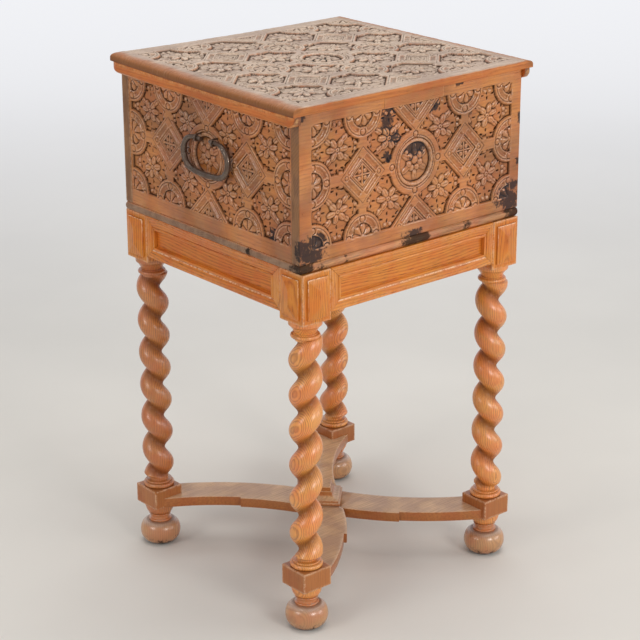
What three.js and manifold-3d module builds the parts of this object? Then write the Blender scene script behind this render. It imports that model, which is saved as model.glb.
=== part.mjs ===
// A carved oak box on its own barley-twist stand.
//
// Millimetres, +Z up. X runs along the carved front from left to right, Y runs from the front to
// the back, and the origin lies on the floor under the middle of the stand.
//
// The box is six boards: the front and back run the full width, the ends stand between them, all
// four sit on a rounded bottom board, and the lid carries a cleat under each of its ends. The lid
// turns on two iron hinges at the back, and an iron bail handle hangs on each end. Oak pegs hold
// the corners. The stand has four legs turned with a single-strand twist on bun feet, four rails
// with planted frames, and a curved cross stretcher. The front and the lid have the main forms of
// their carving: straps, rounds, lozenges, medallions and the flowers between them.

import * as THREE from 'three';
import { ConvexGeometry } from 'three/addons/geometries/ConvexGeometry.js';
import { mergeVertices } from 'three/addons/utils/BufferGeometryUtils.js';
import Module from 'manifold-3d';

const wasm = await Module();
wasm.setup();

// Driving dimensions: joiner's clearances
const fit = 0.3;              // gap between two wooden pieces that meet
const pinPlay = 0.4;          // gap round anything that turns or is driven into a bore

// Driving dimensions: the box
const bodyWidth = 480;        // outside, along the front
const bodyDepth = 463;        // outside, front to back
const bodyHeight = 239;       // the boards, from the bottom board to the rim
const frontBoard = 19;        // thickness of the front and back boards
const endBoard = 19;          // thickness of the two end boards
const bottomBoard = 14.5;     // thickness of the bottom board
const bottomReachX = 3;       // bottom board past the end boards
const bottomReachY = 4;       // bottom board past the front and back boards
const pegRadius = 3.5;        // pegs through the front and back boards into the end boards
const pegLength = 42;
const pegHeights = [82, 157]; // above the bottom of the boards
const patchWidth = 128;       // old lock cut-out in the front rim, filled with a patch
const patchHeight = 19;
const patchDepth = 9;
const patchOffset = -2;       // middle of the patch, from the middle of the front

// Driving dimensions: the lid
const lidThickness = 14;
const lidEndReach = 17.5;     // lid past the end boards
const lidFrontReach = 8;      // lid past the front board
const lidBackReach = 6;       // lid past the back board
const lidSeat = 0.4;          // gap between the rim and the lid
const lidRound = 5;           // rounding of its top edges
const lidArris = 1.5;         // chamfer of its bottom edges
const cleatWidth = 15.5;
const cleatDrop = 18;         // height of the cleats under the lid
const cleatBevel = 3;         // bevel along a cleat's lower outer edge
const cleatEndRound = 13;     // rounding of a cleat's two ends, seen from the side
const cleatPlanRound = 6;     // rounding of its ends, seen from above
const cleatGap = 1;           // between a cleat and the end board
const cleatSetBack = 2;       // cleat ends, short of the lid's front and back edges

// Driving dimensions: the carving on the front and the lid
const carvingDepth = 2.5;     // ground under the straps
const roundRadius = 38;       // outside of a round's strap
const roundGroove = [30.2, 22]; // gouged ring in a round, from its outside to the foot of its boss
const roundBoss = 13;         // flat of the boss
const lozengeReach = 49.5;    // half the diagonal of a lozenge
const lozengeGroove = [40.6, 30.2]; // the same for a lozenge, along its diagonals
const lozengeBoss = 26.3;
const medallionRadius = 52.5;
const medallionBowl = [36, 27]; // sunk bowl of a medallion, and the foot of the fruit in it
const medallionFruit = 17;
const grooveDepth = 2.4;
const bossDrop = 0.4;         // tops of the bosses under the straps
const strapHalf = 8;          // half the width of the short straps that join the motifs
const flowerFoot = 20;        // a flower, at the ground and at its top
const flowerTop = 13;
const frontColumnShares = [-0.887, -0.458, 0.008, 0.463, 0.904]; // of half the front's width
const frontRowShares = [0.09, 0.512, 0.922];     // of the boards' height
const frontMotifs = ['rrlrr', 'rlmlr', 'rrlrr']; // round, lozenge or medallion
const frontMargin = 2;        // carved field past the outer columns
const lidColumnShares = [-0.878, -0.458, 0.008, 0.466, 0.885];   // of half the lid's width
const lidRowShares = [-0.893, -0.444, -0.008, 0.432, 0.868];     // of half its depth
const lidMotifs = ['rrlrr', 'rlrlr', 'lrmrl', 'rlrlr', 'rrlrr'];

// Driving dimensions: the hinges
const hingeSpacing = 300;     // between the middles of the two hinges
const hingeWidth = 30;
const hingePlate = 2;
const lidLeafLength = 62;
const backLeafLength = 54;
const knuckleRadius = 4;
const hingePinRadius = 1.8;
const hingePinEnd = 1.5;      // how far the pin shows at each end
const knuckleShare = 11;      // length of the middle knuckle, which belongs to the lid leaf

// Driving dimensions: the bail handles
const bailRod = 4.4;          // radius of the rod at the grip
const bailSpan = 116;         // between the middles of the two sides
const bailDrop = 58;          // from the turning axis to the middle of the grip
const bailTip = 3.2;          // radius of the rod where it turns in the staples
const bailTaper = 18;         // length over which the rod swells from there to the grip
const bailHeight = 157;       // turning axis above the bottom of the end board
const bailForward = 7;        // middle of the handle, in front of the middle of the end board
const bailStandOff = 8;       // turning axis off the face of the end board
const stapleSpacing = 44;     // between the two staples
const stapleRod = 1.7;
const stapleDepth = 15;       // how far the staple's legs are driven in
const bailEnd = 9;            // how far each rod end reaches past its staple

// Driving dimensions: the stand
const standSetIn = 2;         // faces of the legs inside the end boards' faces
const standStepOut = 4.5;     // faces of the legs past the front and back boards' faces
const legSquare = 58;         // the legs' square blocks
const footHeight = 58;
const footRadius = 36;
const footBase = 16;          // radius of the flat under the foot
const bunBelly = 23;          // height of the bun's widest part
const bunHeight = 43;
const bunShoulder = 22;       // radius at the top of the bun
const footRing = 3.5;         // thin ring on the bun: its height, and how far it stands out
const footDowelRadius = 8;
const footDowelLength = 22;
const ovoloHeight = 19;       // rounded turning under the lower block
const lowerBlock = 35;
const baseTurning = 16;       // rings between the lower block and the twist
const twistLength = 387;
const headTurning = 31.5;     // rings between the twist and the upper block
const upperBlock = 85;
const twistPitch = 61;
const strandOffset = 7;       // middle of the strand, off the leg's axis
const strandInset = 1;        // the twist stays this far inside the faces of the blocks
const twistRunOut = 8;        // height over which the strand comes back to the axis
const neckInset = 4;          // the plain necks are this much thinner than the strand
const collarInset = 2.5;      // the widest rings stay this far inside the faces of the blocks
const railHeight = 73;
const railThickness = 20;
const railSetBack = 6.5;      // rail board behind the face of the legs
const tenonThickness = 10;
const tenonHeight = 50;
const tenonLength = 18;
const frameThickness = 6;     // mitred frame planted on each rail
const frameFlat = 15;         // its flat border
const frameMoulding = 7;      // its moulded inner edge
const frameInnerEdge = 1.5;   // thickness left at the inner edge
const jewelWidth = 41;        // raised facetted panel on each block
const jewelHeight = 67;
const jewelEdge = 3;
const jewelRise = 4;          // ridge above the panel's edge

// Driving dimensions: the stretcher
const armThickness = 17.5;
const armWidth = 62;
const armBow = 19;            // how far an arm bows off the straight line
const armShoulder = 5;        // the inner part of an arm is this much wider on its outer edge
const armShoulderReach = 114; // length of that inner part, along the arm
const armRoot = [20, -24];    // where an arm's middle line starts, off the stand's axis
const hubWidth = 72;          // across the flats of the moulded centre block
const hubHeight = 28;
const hubCap = 36;            // across the flats of its cap
const hubDowelRadius = 8;
const hubDowelLength = 13;

// Fineness of the round shapes
const turnedSides = 12;
const strandSides = 10;
const stepsPerTurn = 7;
const rodSides = 8;
const bailSteps = 36;
const stapleSteps = 14;
const arcSteps = 3;
const motifSides = 8;

// Heights worked out from the driving dimensions
const lowerBlockZ = footHeight + ovoloHeight;
const baseTurningZ = lowerBlockZ + lowerBlock;
const twistZ = baseTurningZ + baseTurning;
const headTurningZ = twistZ + twistLength;
const upperBlockZ = headTurningZ + headTurning;
const standTop = upperBlockZ + upperBlock;
const bottomZ = standTop + fit;
const bodyZ = bottomZ + bottomBoard + fit;
const rimZ = bodyZ + bodyHeight;
const lidZ = rimZ + lidSeat;

// Places worked out from the driving dimensions
const bodyX = bodyWidth / 2;
const bodyY = bodyDepth / 2;
const standWidth = bodyWidth - 2 * standSetIn;
const standDepth = bodyDepth + 2 * standStepOut;
const legX = (standWidth - legSquare) / 2;
const legY = (standDepth - legSquare) / 2;
const hingeAxisY = bodyY + fit + knuckleRadius;
const hingeAxisZ = lidZ + hingePlate - knuckleRadius;
const bailZ = bodyZ + bailHeight;
const bailX = bodyX + bailStandOff;
const stapleYs = [-bailForward - stapleSpacing / 2, -bailForward + stapleSpacing / 2];
const stapleHalf = bailTip + pinPlay + stapleRod;
const frontColumns = frontColumnShares.map((share) => share * bodyX);
const frontRows = frontRowShares.map((share) => share * bodyHeight);
const frontHead = patchHeight + 2 * fit;

// Radii worked out from the driving dimensions
const half = legSquare / 2;
const strandRadius = half - strandInset - strandOffset;
const neckRadius = strandRadius - neckInset;
const collarRadius = half - collarInset;

// Finishes
const carvedOak = new THREE.MeshStandardMaterial({ color: 0x9a6236, roughness: 0.62 });
const weatheredOak = new THREE.MeshStandardMaterial({ color: 0x8b7763, roughness: 0.7 });
const stainedOak = new THREE.MeshStandardMaterial({ color: 0x5c5048, roughness: 0.68 });
const cleatOak = new THREE.MeshStandardMaterial({ color: 0xa9662f, roughness: 0.5 });
const standOak = new THREE.MeshStandardMaterial({ color: 0xb4712f, roughness: 0.42 });
const patchOak = new THREE.MeshStandardMaterial({ color: 0x8e4f2b, roughness: 0.55 });
const iron = new THREE.MeshStandardMaterial({ color: 0x4a4644, roughness: 0.48, metalness: 0.85 });

// Solids: every helper takes and gives closed geometries in the part's own frame.

// A BufferGeometry as a solid, with its shared vertices merged.
function solid(geometry) {
  const bare = geometry.clone();
  bare.deleteAttribute('normal');
  bare.deleteAttribute('uv');
  const merged = mergeVertices(bare, 1e-4);
  return new wasm.Manifold(new wasm.Mesh({
    numProp: 3,
    vertProperties: new Float32Array(merged.attributes.position.array),
    triVerts: new Uint32Array(merged.index.array),
  }));
}

function geometryOf(body) {
  const mesh = body.getMesh();
  const geometry = new THREE.BufferGeometry();
  geometry.setAttribute('position', new THREE.BufferAttribute(mesh.vertProperties, 3));
  geometry.setIndex(new THREE.BufferAttribute(mesh.triVerts, 1));
  geometry.computeVertexNormals();
  return geometry;
}

function join(...geometries) {
  return geometryOf(geometries.map(solid).reduce((whole, piece) => whole.add(piece)));
}

function cut(geometry, ...tools) {
  return geometryOf(tools.map(solid).reduce((rest, tool) => rest.subtract(tool), solid(geometry)));
}

function common(a, b) {
  return geometryOf(solid(a).intersect(solid(b)));
}

// A box given by its lowest and highest corners.
function block(low, high) {
  const size = high.map((value, axis) => value - low[axis]);
  const geometry = new THREE.BoxGeometry(...size);
  return geometry.translate(...low.map((value, axis) => value + size[axis] / 2));
}

// A turned shape standing on the Z axis, from [radius, height] pairs.
function turned(profile, sides = turnedSides) {
  const points = profile.map(([radius, height]) => new THREE.Vector2(radius, height));
  return new THREE.LatheGeometry(points, sides).rotateX(Math.PI / 2);
}

function rodAlongX(radius, x0, x1, y, z) {
  const geometry = new THREE.CylinderGeometry(radius, radius, x1 - x0, rodSides);
  return geometry.rotateZ(Math.PI / 2).translate((x0 + x1) / 2, y, z);
}

function rodAlongY(radius, y0, y1, x, z) {
  const geometry = new THREE.CylinderGeometry(radius, radius, y1 - y0, rodSides);
  return geometry.translate(x, (y0 + y1) / 2, z);
}

function rodAlongZ(radius, z0, z1, x, y) {
  const geometry = new THREE.CylinderGeometry(radius, radius, z1 - z0, turnedSides);
  return geometry.rotateX(Math.PI / 2).translate(x, y, (z0 + z1) / 2);
}

// Points of a quarter of an ellipse about [radius, height], from one angle to another, in degrees.
function quarter([radius, height], across, up, from, to) {
  return Array.from({ length: arcSteps + 1 }, (_, step) => {
    const angle = THREE.MathUtils.degToRad(from + ((to - from) * step) / arcSteps);
    return [radius + across * Math.cos(angle), height + up * Math.sin(angle)];
  });
}

// A board lying flat, as the hull of rectangles given by how far they lie inside its outline and
// how high.
function edgedBoard(width, depth, levels) {
  const points = levels.flatMap(([inset, z]) => [-1, 1].flatMap((sx) => [-1, 1].map((sy) => (
    new THREE.Vector3(sx * (width / 2 - inset), sy * (depth / 2 - inset), z)))));
  return new ConvexGeometry(points);
}

// A round rod carried along a curve.
function rod(curve, radius, steps) {
  const section = new THREE.Shape();
  section.absarc(0, 0, radius, 0, 2 * Math.PI);
  return new THREE.ExtrudeGeometry(section, {
    extrudePath: curve,
    steps,
    curveSegments: rodSides / 2,
    bevelEnabled: false,
  });
}

// Carving, in its own frame: X and Y along the face, Z out of it, and 0 on the face.

// A stud with one radius at its foot and another at its top. It has a corner on the X axis if it
// has four sides, and otherwise a flat side, and covers as much as the circle.
function stud(x, y, [foot, top], [z0, z1], sides = motifSides) {
  const share = sides === 4 ? 1 : Math.sqrt((2 * Math.PI) / (sides * Math.sin((2 * Math.PI) / sides)));
  const geometry = new THREE.CylinderGeometry(top * share, foot * share, z1 - z0, sides);
  geometry.rotateX(Math.PI / 2).rotateZ(sides === 4 ? 0 : Math.PI / sides);
  return geometry.translate(x, y, (z0 + z1) / 2);
}

// What is left standing of one motif, and what is gouged out of it.
function motif(kind, x, y) {
  const through = [-carvingDepth - 2, 3];
  const whole = [-grooveDepth, 2];
  const boss = [-grooveDepth - 1, -bossDrop];
  if (kind === 'r') {
    const [outer, inner] = roundGroove;
    return {
      strap: stud(x, y, [roundRadius, roundRadius], through),
      groove: cut(stud(x, y, [outer, outer], whole), stud(x, y, [inner, roundBoss], boss)),
    };
  }
  if (kind === 'l') {
    const [outer, inner] = lozengeGroove;
    return {
      strap: stud(x, y, [lozengeReach, lozengeReach], through, 4),
      groove: cut(stud(x, y, [outer, outer], whole, 4), stud(x, y, [inner, lozengeBoss], boss, 4)),
    };
  }
  const [outer, inner] = medallionBowl;
  return {
    strap: stud(x, y, [medallionRadius, medallionRadius], through),
    groove: cut(stud(x, y, [outer, outer], whole), stud(x, y, [inner, medallionFruit], [boss[0], 0])),
  };
}

// The waste of a carved field: its ground without the motifs, the straps that join them and the
// flowers between them, and with the motifs' own grooves.
function carving(columns, rows, motifs, low, high) {
  const ground = block([...low, -carvingDepth], [...high, 1]);
  const field = block([...low, -2 * carvingDepth], [...high, 1]);
  const made = rows.flatMap((y, row) => columns.map((x, column) => motif(motifs[row][column], x, y)));
  const reach = [-carvingDepth - 2, 3];
  const across = rows.slice(1, -1).map((y) => block(
    [columns[0], y - strapHalf, reach[0]], [columns.at(-1), y + strapHalf, reach[1]]));
  const along = columns.slice(1, -1).map((x) => block(
    [x - strapHalf, rows[0], reach[0]], [x + strapHalf, rows.at(-1), reach[1]]));
  const flowers = rows.slice(1).flatMap((y, row) => columns.slice(1).map((x, column) => stud(
    (x + columns[column]) / 2, (y + rows[row]) / 2, [flowerFoot, flowerTop], [-carvingDepth - 1, -bossDrop])));
  const straps = made.map(({ strap }) => strap);
  const waste = cut(ground, ...straps, ...across, ...along, ...flowers);
  return common(join(waste, ...made.map(({ groove }) => groove)), field);
}

const part = new THREE.Group();

function add(name, geometry, material) {
  const mesh = new THREE.Mesh(geometry, material);
  mesh.name = name;
  part.add(mesh);
}

// Box boards

// The bottom board's edges are rounded over, top and bottom.
function bottom() {
  const round = bottomBoard / 2 - 0.5;
  const lower = quarter([round, round], -round, -round, 90, 0);
  const upper = quarter([round, bottomBoard - round], -round, round, 0, 90);
  const width = bodyWidth + 2 * bottomReachX;
  const depth = bodyDepth + 2 * bottomReachY;
  return edgedBoard(width, depth, [...lower, ...upper]).translate(0, 0, bottomZ);
}

function patchBox(play) {
  const x = patchWidth / 2 + play;
  return block(
    [patchOffset - x, -bodyY - play, rimZ - patchHeight - play],
    [patchOffset + x, -bodyY + patchDepth + play, rimZ + play],
  );
}

// A peg through the front (sy = -1) or back board into the end board on side sx, or with play
// round it the hole that it needs.
function peg(sx, sy, height, play) {
  const outside = sy * (bodyY + play);
  const inside = sy * (bodyY - pegLength - play);
  const y0 = Math.min(outside, inside);
  const y1 = Math.max(outside, inside);
  return rodAlongY(pegRadius + play, y0, y1, sx * (bodyX - endBoard / 2), bodyZ + height);
}

function pegHoles(sides, sy) {
  return sides.flatMap((sx) => pegHeights.map((height) => peg(sx, sy, height, fit)));
}

function front() {
  const board = block([-bodyX, -bodyY, bodyZ], [bodyX, -bodyY + frontBoard, rimZ]);
  const low = [frontColumns[0] - frontMargin, frontRows[0]];
  const high = [frontColumns.at(-1) + frontMargin, bodyHeight - frontHead];
  const carved = carving(frontColumns, frontRows, frontMotifs, low, high)
    .rotateX(Math.PI / 2).translate(0, -bodyY, bodyZ);
  return cut(board, patchBox(fit), ...pegHoles([-1, 1], -1), carved);
}

function back() {
  const board = block([-bodyX, bodyY - frontBoard, bodyZ], [bodyX, bodyY, rimZ]);
  return cut(board, ...pegHoles([-1, 1], 1));
}

// The end board on one side, side = -1 left or 1 right, with the bores for its staples and pegs.
function end(side) {
  const reach = bodyY - frontBoard - fit;
  const xs = [side * (bodyX - endBoard), side * bodyX].sort((a, b) => a - b);
  const board = block([xs[0], -reach, bodyZ], [xs[1], reach, rimZ]);
  const inside = side * (bodyX - stapleDepth - pinPlay);
  const outside = side * (bodyX + 1);
  const x0 = Math.min(inside, outside);
  const x1 = Math.max(inside, outside);
  const bores = stapleYs.flatMap((y) => [-1, 1].map((leg) => (
    rodAlongX(stapleRod + pinPlay, x0, x1, y, bailZ + leg * stapleHalf))));
  return cut(board, ...bores, ...pegHoles([side], -1), ...pegHoles([side], 1));
}

// Bail handles and their staples

// The handle's middle line, in the plane of the handle: it starts at one rod end, passes its
// staple, swings out and down round the grip and comes back the same way.
function bailCurve(side) {
  const wide = bailSpan / 2;
  const at = (y, drop) => new THREE.Vector3(side * bailX, y - bailForward, bailZ - drop);
  const right = [
    [stapleSpacing / 2 - bailEnd, 0], [stapleSpacing / 2, 0], [stapleSpacing / 2 + bailEnd, 0],
    [wide * 0.78, bailDrop * 0.08], [wide * 0.95, bailDrop * 0.27], [wide, bailDrop * 0.52],
    [wide * 0.9, bailDrop * 0.78], [wide * 0.62, bailDrop * 0.95],
  ];
  const left = right.map(([y, drop]) => [-y, drop]).reverse();
  const points = [...right, [0, bailDrop], ...left].map(([y, drop]) => at(y, drop));
  return new THREE.CatmullRomCurve3(points, false, 'catmullrom', 0.5);
}

// The rod is thick at the grip and tapers to the ends that turn in the staples: each ring of the
// rod is drawn in or out from its own middle.
function bail(side) {
  const curve = bailCurve(side);
  const middles = curve.getSpacedPoints(bailSteps);
  const spacing = curve.getLength() / bailSteps;
  const geometry = rod(curve, 1, bailSteps);
  const position = geometry.attributes.position;
  const point = new THREE.Vector3();
  for (let i = 0; i < position.count; i += 1) {
    point.fromBufferAttribute(position, i);
    const near = middles.reduce((best, middle, index) => (
      middle.distanceToSquared(point) < middles[best].distanceToSquared(point) ? index : best), 0);
    const fromEnd = Math.min(near, bailSteps - near) * spacing;
    const share = THREE.MathUtils.smoothstep(fromEnd, 2 * bailEnd, 2 * bailEnd + bailTaper);
    point.sub(middles[near]).setLength(THREE.MathUtils.lerp(bailTip, bailRod, share)).add(middles[near]);
    position.setXYZ(i, point.x, point.y, point.z);
  }
  return geometry;
}

// A driven staple: two legs in the board and a round bow in front of it.
function staple(side, y) {
  const inner = bodyX - stapleDepth;
  const bowSteps = 2 * arcSteps;
  const bow = Array.from({ length: bowSteps + 1 }, (_, step) => {
    const angle = -Math.PI / 2 + (Math.PI * step) / bowSteps;
    return [bailX + stapleHalf * Math.cos(angle), bailZ + stapleHalf * Math.sin(angle)];
  });
  const line = [[inner, bailZ - stapleHalf], ...bow, [inner, bailZ + stapleHalf]];
  const points = line.map(([x, z]) => new THREE.Vector3(side * x, y, z));
  const path = new THREE.CurvePath();
  for (let i = 1; i < points.length; i += 1) {
    path.add(new THREE.LineCurve3(points[i - 1], points[i]));
  }
  return rod(path, stapleRod, stapleSteps);
}

// Lid

const lidWidth = bodyWidth + 2 * lidEndReach;
const lidDepth = bodyDepth + lidFrontReach + lidBackReach;
const lidY = (lidBackReach - lidFrontReach) / 2;
const lidColumns = lidColumnShares.map((share) => (share * lidWidth) / 2);
const lidRows = lidRowShares.map((share) => lidY + (share * lidDepth) / 2);

function lid() {
  const top = quarter([lidRound, lidThickness - lidRound], -lidRound, lidRound, 0, 90);
  const board = edgedBoard(lidWidth, lidDepth, [[lidArris, 0], [0, lidArris], ...top])
    .translate(0, lidY, lidZ);
  const recesses = [-hingeSpacing / 2, hingeSpacing / 2].map((x) => block(
    [x - hingeWidth / 2 - fit, hingeAxisY - lidLeafLength - fit, lidZ - 1],
    [x + hingeWidth / 2 + fit, hingeAxisY + knuckleRadius + fit, lidZ + hingePlate + fit],
  ));
  const low = [lidColumns[0], lidRows[0]];
  const high = [lidColumns.at(-1), lidRows.at(-1)];
  const carved = carving(lidColumns, lidRows, lidMotifs, low, high)
    .translate(0, 0, lidZ + lidThickness);
  return cut(board, ...recesses, carved);
}

// A cleat has a bevel along its lower outer edge and ends rounded off below and outside: it is the
// hull of its sections, which draw in towards both ends.
function cleat(side) {
  const length = lidDepth - 2 * cleatSetBack;
  const sections = quarter([length / 2 - cleatEndRound, 1], cleatEndRound, -1, 0, 90);
  const points = sections.flatMap(([y, share]) => {
    const z = share * cleatEndRound - cleatDrop;
    const x = cleatWidth - share * cleatPlanRound;
    const section = [[0, 0], [0, z], [x - cleatBevel, z], [x, z + cleatBevel], [x, 0]];
    return section.flatMap(([across, up]) => [-1, 1].map((end) => (
      new THREE.Vector3(side * (bodyX + cleatGap + across), lidY + end * y, lidZ - fit + up))));
  });
  return new ConvexGeometry(points);
}

// Hinges

function boreFor(x) {
  const reach = hingeWidth / 2 + 1;
  return rodAlongX(hingePinRadius + pinPlay / 2, x - reach, x + reach, hingeAxisY, hingeAxisZ);
}

// The lid leaf lies in a recess under the lid and carries the middle knuckle.
function lidLeaf(x) {
  const plateEnd = hingeAxisY - knuckleRadius - fit;
  const plate = block(
    [x - hingeWidth / 2, hingeAxisY - lidLeafLength, lidZ],
    [x + hingeWidth / 2, plateEnd, lidZ + hingePlate],
  );
  const neck = block(
    [x - knuckleShare / 2, plateEnd - 1, lidZ],
    [x + knuckleShare / 2, hingeAxisY, lidZ + hingePlate],
  );
  const barrel = rodAlongX(knuckleRadius, x - knuckleShare / 2, x + knuckleShare / 2, hingeAxisY, hingeAxisZ);
  return cut(join(plate, neck, barrel), boreFor(x));
}

// The back leaf lies on the back board and carries the two outer knuckles.
function backLeaf(x) {
  const y0 = bodyY + fit;
  const plateTop = hingeAxisZ - knuckleRadius - fit;
  const plate = block(
    [x - hingeWidth / 2, y0, hingeAxisZ - backLeafLength],
    [x + hingeWidth / 2, y0 + hingePlate, plateTop],
  );
  const pieces = [plate];
  for (const side of [-1, 1]) {
    const inner = x + side * (knuckleShare / 2 + fit);
    const outer = x + side * hingeWidth / 2;
    const x0 = Math.min(inner, outer);
    const x1 = Math.max(inner, outer);
    pieces.push(block([x0, y0, plateTop - 1], [x1, y0 + hingePlate, hingeAxisZ]));
    pieces.push(rodAlongX(knuckleRadius, x0, x1, hingeAxisY, hingeAxisZ));
  }
  return cut(join(...pieces), boreFor(x));
}

function hingePin(x) {
  const reach = hingeWidth / 2 + hingePinEnd;
  return rodAlongX(hingePinRadius, x - reach, x + reach, hingeAxisY, hingeAxisZ);
}

// Stand: legs and feet

// The twist is a round strand whose middle runs round the leg's axis: a cylinder whose rings
// are shifted sideways by an angle that grows with the height.
function twist(hand, startAngle) {
  const steps = Math.round((twistLength / twistPitch) * stepsPerTurn);
  const geometry = new THREE.CylinderGeometry(strandRadius, strandRadius, twistLength, strandSides, steps);
  geometry.rotateX(Math.PI / 2);
  const position = geometry.attributes.position;
  for (let i = 0; i < position.count; i += 1) {
    const height = position.getZ(i) + twistLength / 2;
    const angle = startAngle + (hand * 2 * Math.PI * height) / twistPitch;
    const fromEnd = Math.min(height, twistLength - height);
    const share = THREE.MathUtils.smoothstep(fromEnd, 0, twistRunOut);
    const thin = THREE.MathUtils.lerp(neckRadius / strandRadius, 1, share);
    position.setXYZ(
      i,
      position.getX(i) * thin + strandOffset * share * Math.cos(angle),
      position.getY(i) * thin + strandOffset * share * Math.sin(angle),
      height,
    );
  }
  return geometry.translate(0, 0, twistZ);
}

// Turned mouldings, as [radius, height above their own base]. Each reaches a little into the
// block and the twist that it joins.
const ovoloProfile = [
  [0, 0], ...quarter([neckRadius, ovoloHeight - 3], half - 3 - neckRadius, 3 - ovoloHeight, 90, 0),
  [half - 1.5, ovoloHeight - 2.5], [half - 1.5, ovoloHeight + 1], [0, ovoloHeight + 1],
];
const baseProfile = [
  [0, -1], [collarRadius - 1.5, -1], [collarRadius, 2.5], [collarRadius, 5.5], [collarRadius - 2, 8],
  [collarRadius - 4.5, 9], [collarRadius - 4.5, 12], [neckRadius, 13], [neckRadius, baseTurning + 2],
  [0, baseTurning + 2],
];
const headProfile = [
  [0, -2], [neckRadius, -2], [neckRadius, 1], [neckRadius + 4, 3.5], [neckRadius + 4, 8.5],
  [neckRadius, 11], [neckRadius, 13], [neckRadius + 2, 13.5], [neckRadius + 2, 16.5], [neckRadius, 17],
  [neckRadius + 1, 21], [collarRadius - 3, headTurning - 5], [collarRadius + 1, headTurning - 4],
  [collarRadius + 1, headTurning + 1], [0, headTurning + 1],
];

// The mortises that take the tenons of the two rails meeting in one leg.
function mortises(sx, sy, play) {
  const middle = railSetBack + railThickness / 2;
  const inner = { x: legX - half, y: legY - half };
  const depth = tenonLength + play;
  const t = tenonThickness / 2 + play;
  const z0 = standTop - railHeight / 2 - tenonHeight / 2 - play;
  const z1 = standTop - railHeight / 2 + tenonHeight / 2 + play;
  const railY = standDepth / 2 - middle;
  const railX = standWidth / 2 - middle;
  const spans = (side, a, b) => (side > 0 ? [a, b] : [-b, -a]);
  const alongX = { x: spans(sx, inner.x - 1, inner.x + depth), y: spans(sy, railY - t, railY + t) };
  const alongY = { x: spans(sx, railX - t, railX + t), y: spans(sy, inner.y - 1, inner.y + depth) };
  return [alongX, alongY].map(({ x, y }) => block([x[0], y[0], z0], [x[1], y[1], z1]));
}

function leg(sx, sy, hand, startAngle) {
  const place = (geometry, z) => geometry.translate(sx * legX, sy * legY, z);
  const square = (z0, z1) => block([-half, -half, z0], [half, half, z1]);
  const pieces = [
    place(turned(ovoloProfile), footHeight),
    place(square(lowerBlockZ, baseTurningZ), 0),
    place(turned(baseProfile), baseTurningZ),
    place(twist(hand, startAngle), 0),
    place(turned(headProfile), headTurningZ),
    place(square(upperBlockZ, standTop), 0),
  ];
  const boreTop = footHeight + footDowelLength + fit;
  const bore = rodAlongZ(footDowelRadius + fit, footHeight - 1, boreTop, sx * legX, sy * legY);
  return cut(join(...pieces), bore, ...mortises(sx, sy, fit));
}

// A bun on a narrow neck, with a dowel up into the leg.
function foot(sx, sy) {
  const top = footHeight - fit;
  const ring = neckRadius + footRing;
  const profile = [
    [0, 0],
    ...quarter([footBase, bunBelly], footRadius - footBase, bunBelly, -90, 0),
    ...quarter([bunShoulder, bunBelly], footRadius - bunShoulder, bunHeight - bunBelly, 0, 90).slice(1),
    [ring, bunHeight + 0.5], [ring, bunHeight + footRing], [neckRadius, bunHeight + footRing + 1],
    [neckRadius, top], [footDowelRadius, top], [footDowelRadius, footHeight + footDowelLength],
    [0, footHeight + footDowelLength],
  ];
  return turned(profile).translate(sx * legX, sy * legY, 0);
}

// Stand: rails, frames and raised panels

// The rail on one side, built as the front rail and turned to its side.
function railSide(side) {
  const alongX = side === 'front' || side === 'back';
  const turn = { front: 0, right: Math.PI / 2, back: Math.PI, left: -Math.PI / 2 }[side];
  return {
    length: (alongX ? standWidth : standDepth) - 2 * legSquare - 2 * fit,
    face: -(alongX ? standDepth : standWidth) / 2,
    turn,
  };
}

function rail(side) {
  const { length, face, turn } = railSide(side);
  const x = length / 2;
  const y0 = face + railSetBack;
  const board = block([-x, y0, standTop - railHeight], [x, y0 + railThickness, standTop]);
  const reach = x + tenonLength;
  const middle = y0 + railThickness / 2;
  const tenonZ = standTop - railHeight / 2;
  const tenons = block(
    [-reach, middle - tenonThickness / 2, tenonZ - tenonHeight / 2],
    [reach, middle + tenonThickness / 2, tenonZ + tenonHeight / 2],
  );
  return join(board, tenons).rotateZ(turn);
}

// A flat frame whose inner edge slopes down to the panel.
function railFrame(side) {
  const { length, face, turn } = railSide(side);
  const y1 = face + railSetBack - fit;
  const y0 = y1 - frameThickness;
  const slab = block([-length / 2, y0, standTop - railHeight], [length / 2, y1, standTop]);
  const window = {
    x: length / 2 - frameFlat - frameMoulding,
    z: railHeight / 2 - frameFlat - frameMoulding,
  };
  const wide = { x: window.x + frameMoulding, z: window.z + frameMoulding };
  const rise = frameThickness - frameInnerEdge;
  const points = [];
  for (const sx of [-1, 1]) {
    for (const sz of [-1, 1]) {
      const z = standTop - railHeight / 2;
      points.push(new THREE.Vector3(sx * window.x, y1 + 1, z + sz * window.z));
      points.push(new THREE.Vector3(sx * window.x, y0 + rise, z + sz * window.z));
      points.push(new THREE.Vector3(sx * wide.x, y0, z + sz * wide.z));
      points.push(new THREE.Vector3(sx * wide.x, y0 - 1, z + sz * wide.z));
    }
  }
  return cut(slab, new ConvexGeometry(points)).rotateZ(turn);
}

// A raised panel with a hipped top whose ridge stands upright.
function jewel(side, across) {
  const { face, turn } = railSide(side);
  const x = jewelWidth / 2;
  const z = jewelHeight / 2;
  const ridge = z - x;
  const middle = upperBlockZ + upperBlock / 2;
  const y = face - fit;
  const points = [];
  for (const sz of [-1, 1]) {
    for (const sx of [-1, 1]) {
      points.push(new THREE.Vector3(across + sx * x, y, middle + sz * z));
      points.push(new THREE.Vector3(across + sx * x, y - jewelEdge, middle + sz * z));
    }
    points.push(new THREE.Vector3(across, y - jewelEdge - jewelRise, middle + sz * ridge));
  }
  return new ConvexGeometry(points).rotateZ(turn);
}

// Stretcher

const armZ = lowerBlockZ;
const armTop = armZ + armThickness;

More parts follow.
